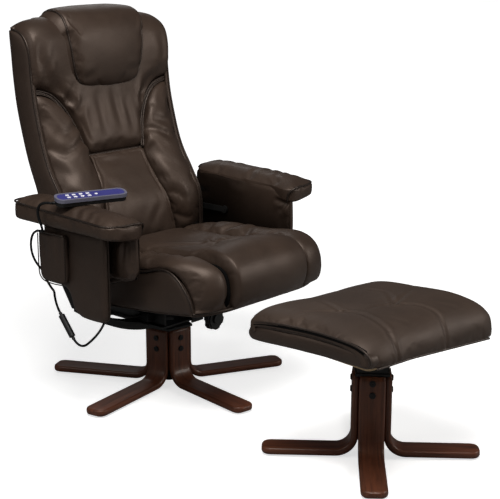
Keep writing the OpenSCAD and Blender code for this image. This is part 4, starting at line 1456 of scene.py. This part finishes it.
def pocket_shape(points):
    x, y, z = (points - POCKET_SHIFT).T
    x = -x
    full = .004 * arch(-.04, .068, y) * (.4 + .6 * ease(.37, .50, z))
    folds = creases(y, z, middle=[
        (.002, .008, (-.020, .505), (-.014, .47), (-.018, .43)),
        (.0018, .008, (.045, .505), (.038, .46), (.042, .42)),
    ])
    x = x + np.clip((x - .402) / .009, 0, 1) * (full + folds * .8)
    return np.stack([-x, y, z], 1) + POCKET_SHIFT


def side_pocket():
    """Pocket on the outside of the sitter's right arm."""
    outline = smooth_curve([
        (-.040, .500), (-.0405, .44), (-.0400, .392), (-.034, .378), (-.020, .373),
        (.015, .3722), (.045, .3735), (.058, .379), (.0655, .392), (.0675, .43), (.0675, .500)],
        step=.006)
    outline = np.vstack([outline, [(.0675, .510), (-.040, .510)]]) + POCKET_SHIFT[1:]
    ob = board("side_pocket_cover", outline, -.3735, -.3905, "mechanism", voxel=.0045, soften=5,
               shape=pocket_shape)
    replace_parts(ob, "side_pocket")
    hem = np.array([(-.4125, -.038, .508), (-.4150, .012, .5085), (-.4125, .066, .508)])
    welt("side_pocket_hem", hem + POCKET_SHIFT, .0026, "mechanism")
    seam = np.array([
        (-.4105, -.0395, .500), (-.4108, -.0400, .44), (-.4105, -.0385, .394),
        (-.4105, -.030, .3765), (-.4108, -.010, .3728), (-.4108, .020, .3722),
        (-.4105, .047, .375), (-.4105, .062, .385), (-.4105, .0668, .402),
        (-.4108, .0672, .45), (-.4105, .067, .500)])
    welt("side_pocket_seam", seam + POCKET_SHIFT, .0016, "mechanism")


side_pocket()

# ---------------------------------------------------------------- footstool
# Drawn about its own centre, then placed.


def place_on_stool(points):
    """Footstool coordinates to the frame; the soft cushion is fuller at its rear right corner
    and hangs lower at the front left."""
    points = np.asarray(points, float)
    x, y, z = points[..., 0], points[..., 1], points[..., 2]
    low = ease(.362, .325, z)
    right = np.clip(-x / .22, 0, 1)
    z = (z - .012 * np.clip(x / .22, -.4, 1) * ease(.05, -.17, y) * low
         - .006 * right * ease(.02, .19, y) * low)
    x = x - .020 * ease(-.08, .19, y) * right
    cos, sin = math.cos(STOOL_TURN), math.sin(STOOL_TURN)
    return np.stack([x * cos - y * sin + STOOL_X, x * sin + y * cos + STOOL_Y, z], -1)


def stool_top():
    profile = smooth_curve([      # (y, z) from the rear over the top and down the front
        (.184, .328), (.1900, .342), (.1900, .355), (.1835, .3680), (.164, .3790),
        (.124, .3870), (.05, .3920), (-.02, .3940), (-.08, .3935), (-.125, .3900),
        (-.160, .3825), (-.186, .3665), (-.199, .3450), (-.2025, .3250), (-.2005, .3150)],
        step=.003)
    rows, columns, half_width = 118, 110, .2270
    local = np.zeros((rows, columns, 3))
    local[..., 0] = (2 * spread(columns, .45)[None] - 1) * half_width
    local[..., 1:] = at(profile, spread(rows, .15))[:, None]

    def relief(grid, across):
        x, y, z = local[..., 0], local[..., 1], local[..., 2]
        run = np.where(y < -.165, y - (.40 - z) * .55, y)       # unrolls the front
        height = .62 * creases(x, run, even_depth=[
            (.0052, .005, (-.138, -.262), (-.136, -.215), (-.128, -.170), (-.112, -.105),
             (-.106, -.050), (-.116, -.004)),
            (.0052, .005, (.034, -.262), (.035, -.215), (.044, -.170), (.045, -.125),
             (.030, -.085), (.008, -.059)),
        ], fading=[
            (.0046, .0055, (-.116, -.004), (-.150, .028), (-.182, .056), (-.196, .050)),
            (.0046, .0055, (-.116, -.004), (-.098, .050), (-.079, .106)),
            (.0052, .0058, (.008, -.059), (.040, -.020), (.073, .023), (.085, .05)),
            (.0058, .0058, (.008, -.059), (.075, -.030), (.142, .001)),
            (.0045, .006, (.008, -.059), (-.040, -.045), (-.078, -.052)),
            (.0022, .008, (-.060, -.150), (-.082, -.110), (-.106, -.075)),
            (.0022, .008, (.110, -.150), (.080, -.120), (.050, -.110)),
        ], middle=[
            (.003, .006, (.073, .110), (.078, .060), (.085, .03)),
        ])
        # dimples where the folds meet
        for dimple_x, dimple_y, depth, width in ((.008, -.059, .0055, .034),
                                                 (-.116, -.004, .0045, .032)):
            height -= depth * np.exp(-(((x - dimple_x) ** 2 + (y - dimple_y) ** 2) / width ** 2))
        height += ripples(x, run, amplitude=.0011, scale=.11, seed=101)
        # saddle: the right side is lower, the left side fuller
        height += np.clip((z - .33) / .07, 0, 1) * (
            .0035 * ease(-.05, .12, x) * (1 - ease(.15, .23, x))
            - .006 * ease(-.04, -.21, x) * ease(.19, .02, y)
            - .003 * np.exp(-(((x + .06) / .05) ** 2)) * ease(-.02, .12, y))
        return height - .0075 * ease(-.13, .03, x) * ease(-.09, .06, y)

    grid = place_on_stool(local)
    return panel("stool_top_panel", grid, normals(grid, (0, -.3, 1)),
                 dict(first=(.070, .024), last=(.055, .028), top=(.02, .005), bottom=(.02, .003)),
                 crown=.005, body="footstool", relief=relief, back=.034, material=LEATHER_MATT,
                 cloth=dict(pressure=2.4, shrink=-.012, bend=.8, cap=.004))


def stool_side(name, side, outer, lift):
    """Side board; lift raises the upper edge of its outline (y, z)."""
    outline = smooth_curve([
        (-.190, .318), (-.1965, .330), (-.1955, .345), (-.184, .3555 + lift),
        (-.150, .3590 + lift), (-.080, .3585 + lift), (.0, .3565 + lift), (.08, .3540 + lift),
        (.14, .3510 + lift), (.172, .3480), (.183, .3400), (.1850, .330), (.182, .3215),
        (.165, .3155), (.08, .3145), (.0, .3150), (-.08, .3155), (-.15, .3155)],
        closed=True, step=.006)[:-1]

    def shape(points):
        x, y, z = points.T
        x = x * side
        full = .006 * arch(-.20, .195, y) ** .6 * arch(.312, .380, z) ** .7
        full = full + ripples(y, z, amplitude=.0014, scale=.05, seed=111)
        x = x + np.clip((x - .212) / .012, 0, 1) * full
        return place_on_stool(np.stack([side * x, y, z], 1))

    board("stool_side_" + name, outline, side * .190, side * outer, "footstool", voxel=.0048,
          soften=5, shape=shape)


def stool_line(x, points):
    """Smooth line of (y, z) points at one x, placed."""
    return place_on_stool([(x, y, z) for y, z in smooth_curve(points, step=.006)])


def stool_hem(name, half_width, y, z):
    welt(name, place_on_stool([(x, y, z) for x in np.linspace(-half_width, half_width, 11)]),
         .003, "footstool")


stool_cushion = stool_top()
stool_side("right", -1, outer=.2230, lift=0)
welt("stool_piping_right", stool_line(-.2235, [
    (-.188, .319), (-.1965, .333), (-.1955, .346), (-.184, .3560), (-.150, .3597),
    (-.080, .3593), (.0, .3573), (.08, .3548), (.14, .3518), (.172, .3488), (.185, .3405),
    (.1880, .330), (.184, .3215)])[2:-9], .0026, "footstool")
stool_side("left", 1, outer=.2130, lift=.004)
# on the right side a second piping parts from the first along the middle, with a near-black strip
# between as painted shadow in the recess
welt("stool_piping_upper", stool_line(-.2250, [
    (-.1965, .3360), (-.1940, .3520), (-.178, .3640), (-.135, .3715), (-.04, .3735),
    (.06, .3700), (.128, .3630), (.156, .3575)]), .0026, "footstool")
tube("stool_seam_tape", stool_line(-.2215, [
    (-.178, .3600), (-.135, .3672), (-.04, .3678), (.06, .3640), (.128, .3580),
    (.160, .3520)]), .0062, "footstool", SEAM_SHADOW_CLOTH)
under_verts, under_faces = rounded_box((-.205, -.186, .3135), (.205, .180, .324),
                                       (.02, .02, .004), step=.03)
solid("stool_under_cloth", place_on_stool(under_verts), under_faces, "footstool",
      CLOTH_UNDER, clean=True)
stool_hem("stool_hem_front", .200, y=-.1965, z=.3165)
stool_hem("stool_hem_rear", .196, y=.1790, z=.325)
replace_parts(stool_cushion, "stool_cushion")

# ---------------------------------------------------------------- cords


def cord_line(start, bends):
    """Chain of quadratic curves; each bend is (control point, end point, segments)."""
    start = np.array(start)
    points = [start]
    for control, end, segments in bends:
        control, end = np.array(control), np.array(end)
        for t in np.linspace(0, 1, segments + 1)[1:]:
            points.append((1 - t) ** 2 * start + 2 * t * (1 - t) * control + t * t * end)
        start = end
    return np.array(points)


handset_line = cord_line((-.4215, -.014, .5919), [((-.436, .046, .594), (-.424, .028, .532), 12)])
lower_line = cord_line((-.424, .028, .532), [
    ((-.421, .020, .506), (-.404, .054, .506), 6),
    ((-.391, .110, .500), (-.392, .113, .460), 6),
    ((-.392, .116, .420), (-.376, .092, .390), 6),
    ((-.362, .090, .352), (-.362, .062, .332), 6),
    ((-.362, .058, .298), (-.362, .0415, .2788), 5),
])
chair_line = cord_line((-.362, -.0136, .2132), [
    ((-.358, -.036, .188), (-.354, -.062, .212), 7),
    ((-.348, -.100, .244), (-.340, -.110, .274), 7),
    ((-.330, -.106, .306), (-.260, -.084, .272), 7),
    ((-.200, -.074, .246), (-.150, -.042, .240), 5),
])
# the upper cord rides no body: it is left unattached
handset_cord = tube("handset_cord", handset_line, .0036, "", RUBBER, step=.004)
lower_cord = tube("handset_cord_lower", lower_line, .0033, "mechanism", RUBBER,
                  step=.005)
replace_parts(lower_cord, "handset_cable")
chair_cord = tube("chair_cord", chair_line, .0033, "mechanism", RUBBER, step=.005)
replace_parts(chair_cord, "chair_cable")

# ---------------------------------------------------------------- bevels of the CAD pieces

BEVELS = (       # width, segments, angle limit in degrees, pieces
    (.0022, 3, 40, ("handset_lower_shell", "handset_upper_shell")),
    (.0004, 2, 40, ("key_a1", "key_a2", "key_a3", "key_a4", "key_b1", "key_b2", "key_b3",
                    "key_b4", "key_power", "handset_face")),
    (.0010, 2, 40, ("mechanism_plate", "cross_beam", "base_cap_plate", "arm_brackets",
                    "seat_frame", "control_box", "base_bolts", "stool_bolts", "stool_column",
                    "slide_rails")),
    (.0012, 3, 30, ("clamp_knob", "connector_socket", "connector_plug")),
)
for bevel_width, segments, angle, names in BEVELS:
    for node_name in names:
        bevel = NODES[node_name].modifiers.new("bevel", "BEVEL")
        bevel.width = bevel_width
        bevel.segments = segments
        bevel.limit_method = "ANGLE"
        bevel.angle_limit = math.radians(angle)

# ---------------------------------------------------------------- cloth pass


def add_cloth(ob, pinned, job):
    group = ob.vertex_groups.new(name="pin")
    group.add([int(i) for i in np.nonzero(pinned)[0]], 1.0, "REPLACE")
    modifier = ob.modifiers.new("cloth", "CLOTH")
    settings = modifier.settings
    settings.quality = 4
    settings.mass = .15
    settings.tension_stiffness = settings.compression_stiffness = 12
    settings.shear_stiffness = 5
    settings.bending_stiffness = job["bend"]
    settings.tension_damping = settings.compression_damping = settings.shear_damping = 8
    settings.air_damping = 3
    settings.use_pressure = True
    settings.uniform_pressure_force = job["pressure"]
    settings.shrink_min = job["shrink"]
    settings.vertex_group_mass = "pin"
    settings.pin_stiffness = 50
    settings.effector_weights.gravity = 0
    modifier.collision_settings.use_collision = False
    modifier.collision_settings.use_self_collision = False
    modifier.point_cache.frame_start = 1
    modifier.point_cache.frame_end = CLOTH_FRAMES


def coordinates(mesh, count):
    flat = np.zeros(count * 3)
    mesh.vertices.foreach_get("co", flat)
    return flat.reshape(-1, 3)


def run_cloth():
    """Let pressure puff the panels, and keep each point within about the cap of its start."""
    for ob, pinned, job in cloth_jobs:
        add_cloth(ob, pinned, job)
    for number in range(1, CLOTH_FRAMES + 1):
        scene.frame_set(number)
    depsgraph = bpy.context.evaluated_depsgraph_get()
    for ob, pinned, job in cloth_jobs:
        count = len(ob.data.vertices)
        evaluated = ob.evaluated_get(depsgraph)
        start = coordinates(ob.data, count)
        move = coordinates(evaluated.to_mesh(), count) - start
        if not np.isfinite(move).all():      # a simulation that blew up is ignored
            move = np.zeros_like(start)
        length = np.linalg.norm(move, axis=1, keepdims=True)
        move *= job["cap"] * np.tanh(length / job["cap"]) / np.maximum(length, 1e-9)
        move[pinned] = 0
        evaluated.to_mesh_clear()
        ob.modifiers.clear()
        ob.data.vertices.foreach_set("co", (start + move).ravel().astype(np.float32))
        ob.data.update()
    scene.frame_set(1)


run_cloth()
for ob, _, _ in cloth_jobs:
    subdivision = ob.modifiers.new("subdiv", "SUBSURF")
    subdivision.levels = 1
    subdivision.render_levels = 1
for ob in list(bpy.data.objects):
    if riders.get(ob.name):
        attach(ob, riders[ob.name])
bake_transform(handset_cord)

# ---------------------------------------------------------------- studio


def add_camera():
    data = bpy.data.cameras.new("camera")
    camera = bpy.data.objects.new("camera", data)
    scene.collection.objects.link(camera)
    forward = Vector((.72419, .64487, -.24434)).normalized()
    right = Vector((.66502, -.74682, 0)).normalized()
    up = right.cross(forward)
    place = Vector((-2.3676, -2.4234, 1.2408))
    camera.matrix_world = Matrix((*zip(right, up, -forward, place), (0, 0, 0, 1)))
    data.sensor_fit = "HORIZONTAL"
    data.sensor_width = 36
    data.lens = 88.507
    scene.camera = camera
    scene.view_settings.view_transform = "Standard"
    scene.view_settings.look = "None"


def add_world():
    """White to the camera, a faint cool light to everything else."""
    world = bpy.data.worlds.new("studio")
    scene.world = world
    world.use_nodes = True
    tree = world.node_tree
    ambient = next(n for n in tree.nodes if n.type == "BACKGROUND")
    rays = tree.nodes.new("ShaderNodeLightPath")
    backdrop = tree.nodes.new("ShaderNodeBackground")
    set_inputs(ambient, {"Color": (.93, .95, 1, 1), "Strength": .05})
    set_inputs(backdrop, {"Color": (1, 1, 1, 1), "Strength": 1.0})
    mix = tree.nodes.new("ShaderNodeMixShader")
    tree.links.new(rays.outputs["Is Camera Ray"], mix.inputs[0])
    tree.links.new(ambient.outputs[0], mix.inputs[1])
    tree.links.new(backdrop.outputs[0], mix.inputs[2])
    output = next(n for n in tree.nodes if n.type == "OUTPUT_WORLD")
    tree.links.new(mix.outputs[0], output.inputs["Surface"])


def add_floor():
    """White floor that glows to the camera, more so away from the chair."""
    bpy.ops.mesh.primitive_plane_add(size=40, location=(0, 0, -.0005))
    floor = bpy.context.object
    floor.name = "floor"
    material, tree, shader = new_material("floor_white")
    set_inputs(shader, {"Roughness": .6, "Specular IOR Level": .2})
    glow = tree.nodes.new("ShaderNodeEmission")
    camera_ray = tree.nodes.new("ShaderNodeLightPath").outputs["Is Camera Ray"]
    colour = ramp(tree, camera_ray, [(0.0, (.30, .30, .30)), (1.0, (.80, .80, .80))])
    tree.links.new(colour, shader.inputs["Base Color"])
    geometry = tree.nodes.new("ShaderNodeNewGeometry")
    distance = tree.nodes.new("ShaderNodeVectorMath")
    distance.operation = "LENGTH"
    tree.links.new(geometry.outputs["Position"], distance.inputs[0])
    strength = map_smooth(tree, distance.outputs["Value"], start=1.0, end=2.3,
                          at_start=.66, at_end=1.05)
    tree.links.new(math_node(tree, "MULTIPLY", camera_ray, strength), glow.inputs["Strength"])
    both = tree.nodes.new("ShaderNodeAddShader")
    tree.links.new(shader.outputs[0], both.inputs[0])
    tree.links.new(glow.outputs[0], both.inputs[1])
    output = next(n for n in tree.nodes if n.type == "OUTPUT_MATERIAL")
    tree.links.new(both.outputs[0], output.inputs["Surface"])
    floor.data.materials.append(material)


def area_light(name, place, target, size, power, colour=(1, 1, 1)):
    data = bpy.data.lights.new(name, "AREA")
    data.shape = "RECTANGLE"
    data.size = data.size_y = size
    data.energy = power
    data.color = colour
    light = bpy.data.objects.new(name, data)
    light.location = place
    aim = Vector(target) - Vector(place)
    light.rotation_euler = aim.to_track_quat("-Z", "Y").to_euler()
    scene.collection.objects.link(light)


add_camera()
add_world()
add_floor()
area_light("key_top", place=(-1.0, -1.1, 3.1), target=(0, -.2, .45), size=1.5, power=88,
           colour=(1, .985, .96))
area_light("front_right", place=(1.5, -2.6, 1.5), target=(0, -.3, .4), size=1.1, power=30,
           colour=(1, .98, .95))
area_light("left_fill", place=(-2.6, .2, 1.9), target=(0, 0, .5), size=1.3, power=17,
           colour=(1, .99, .98))
area_light("rim_back", place=(1.8, 2.2, 2.4), target=(0, 0, .7), size=1.2, power=7)
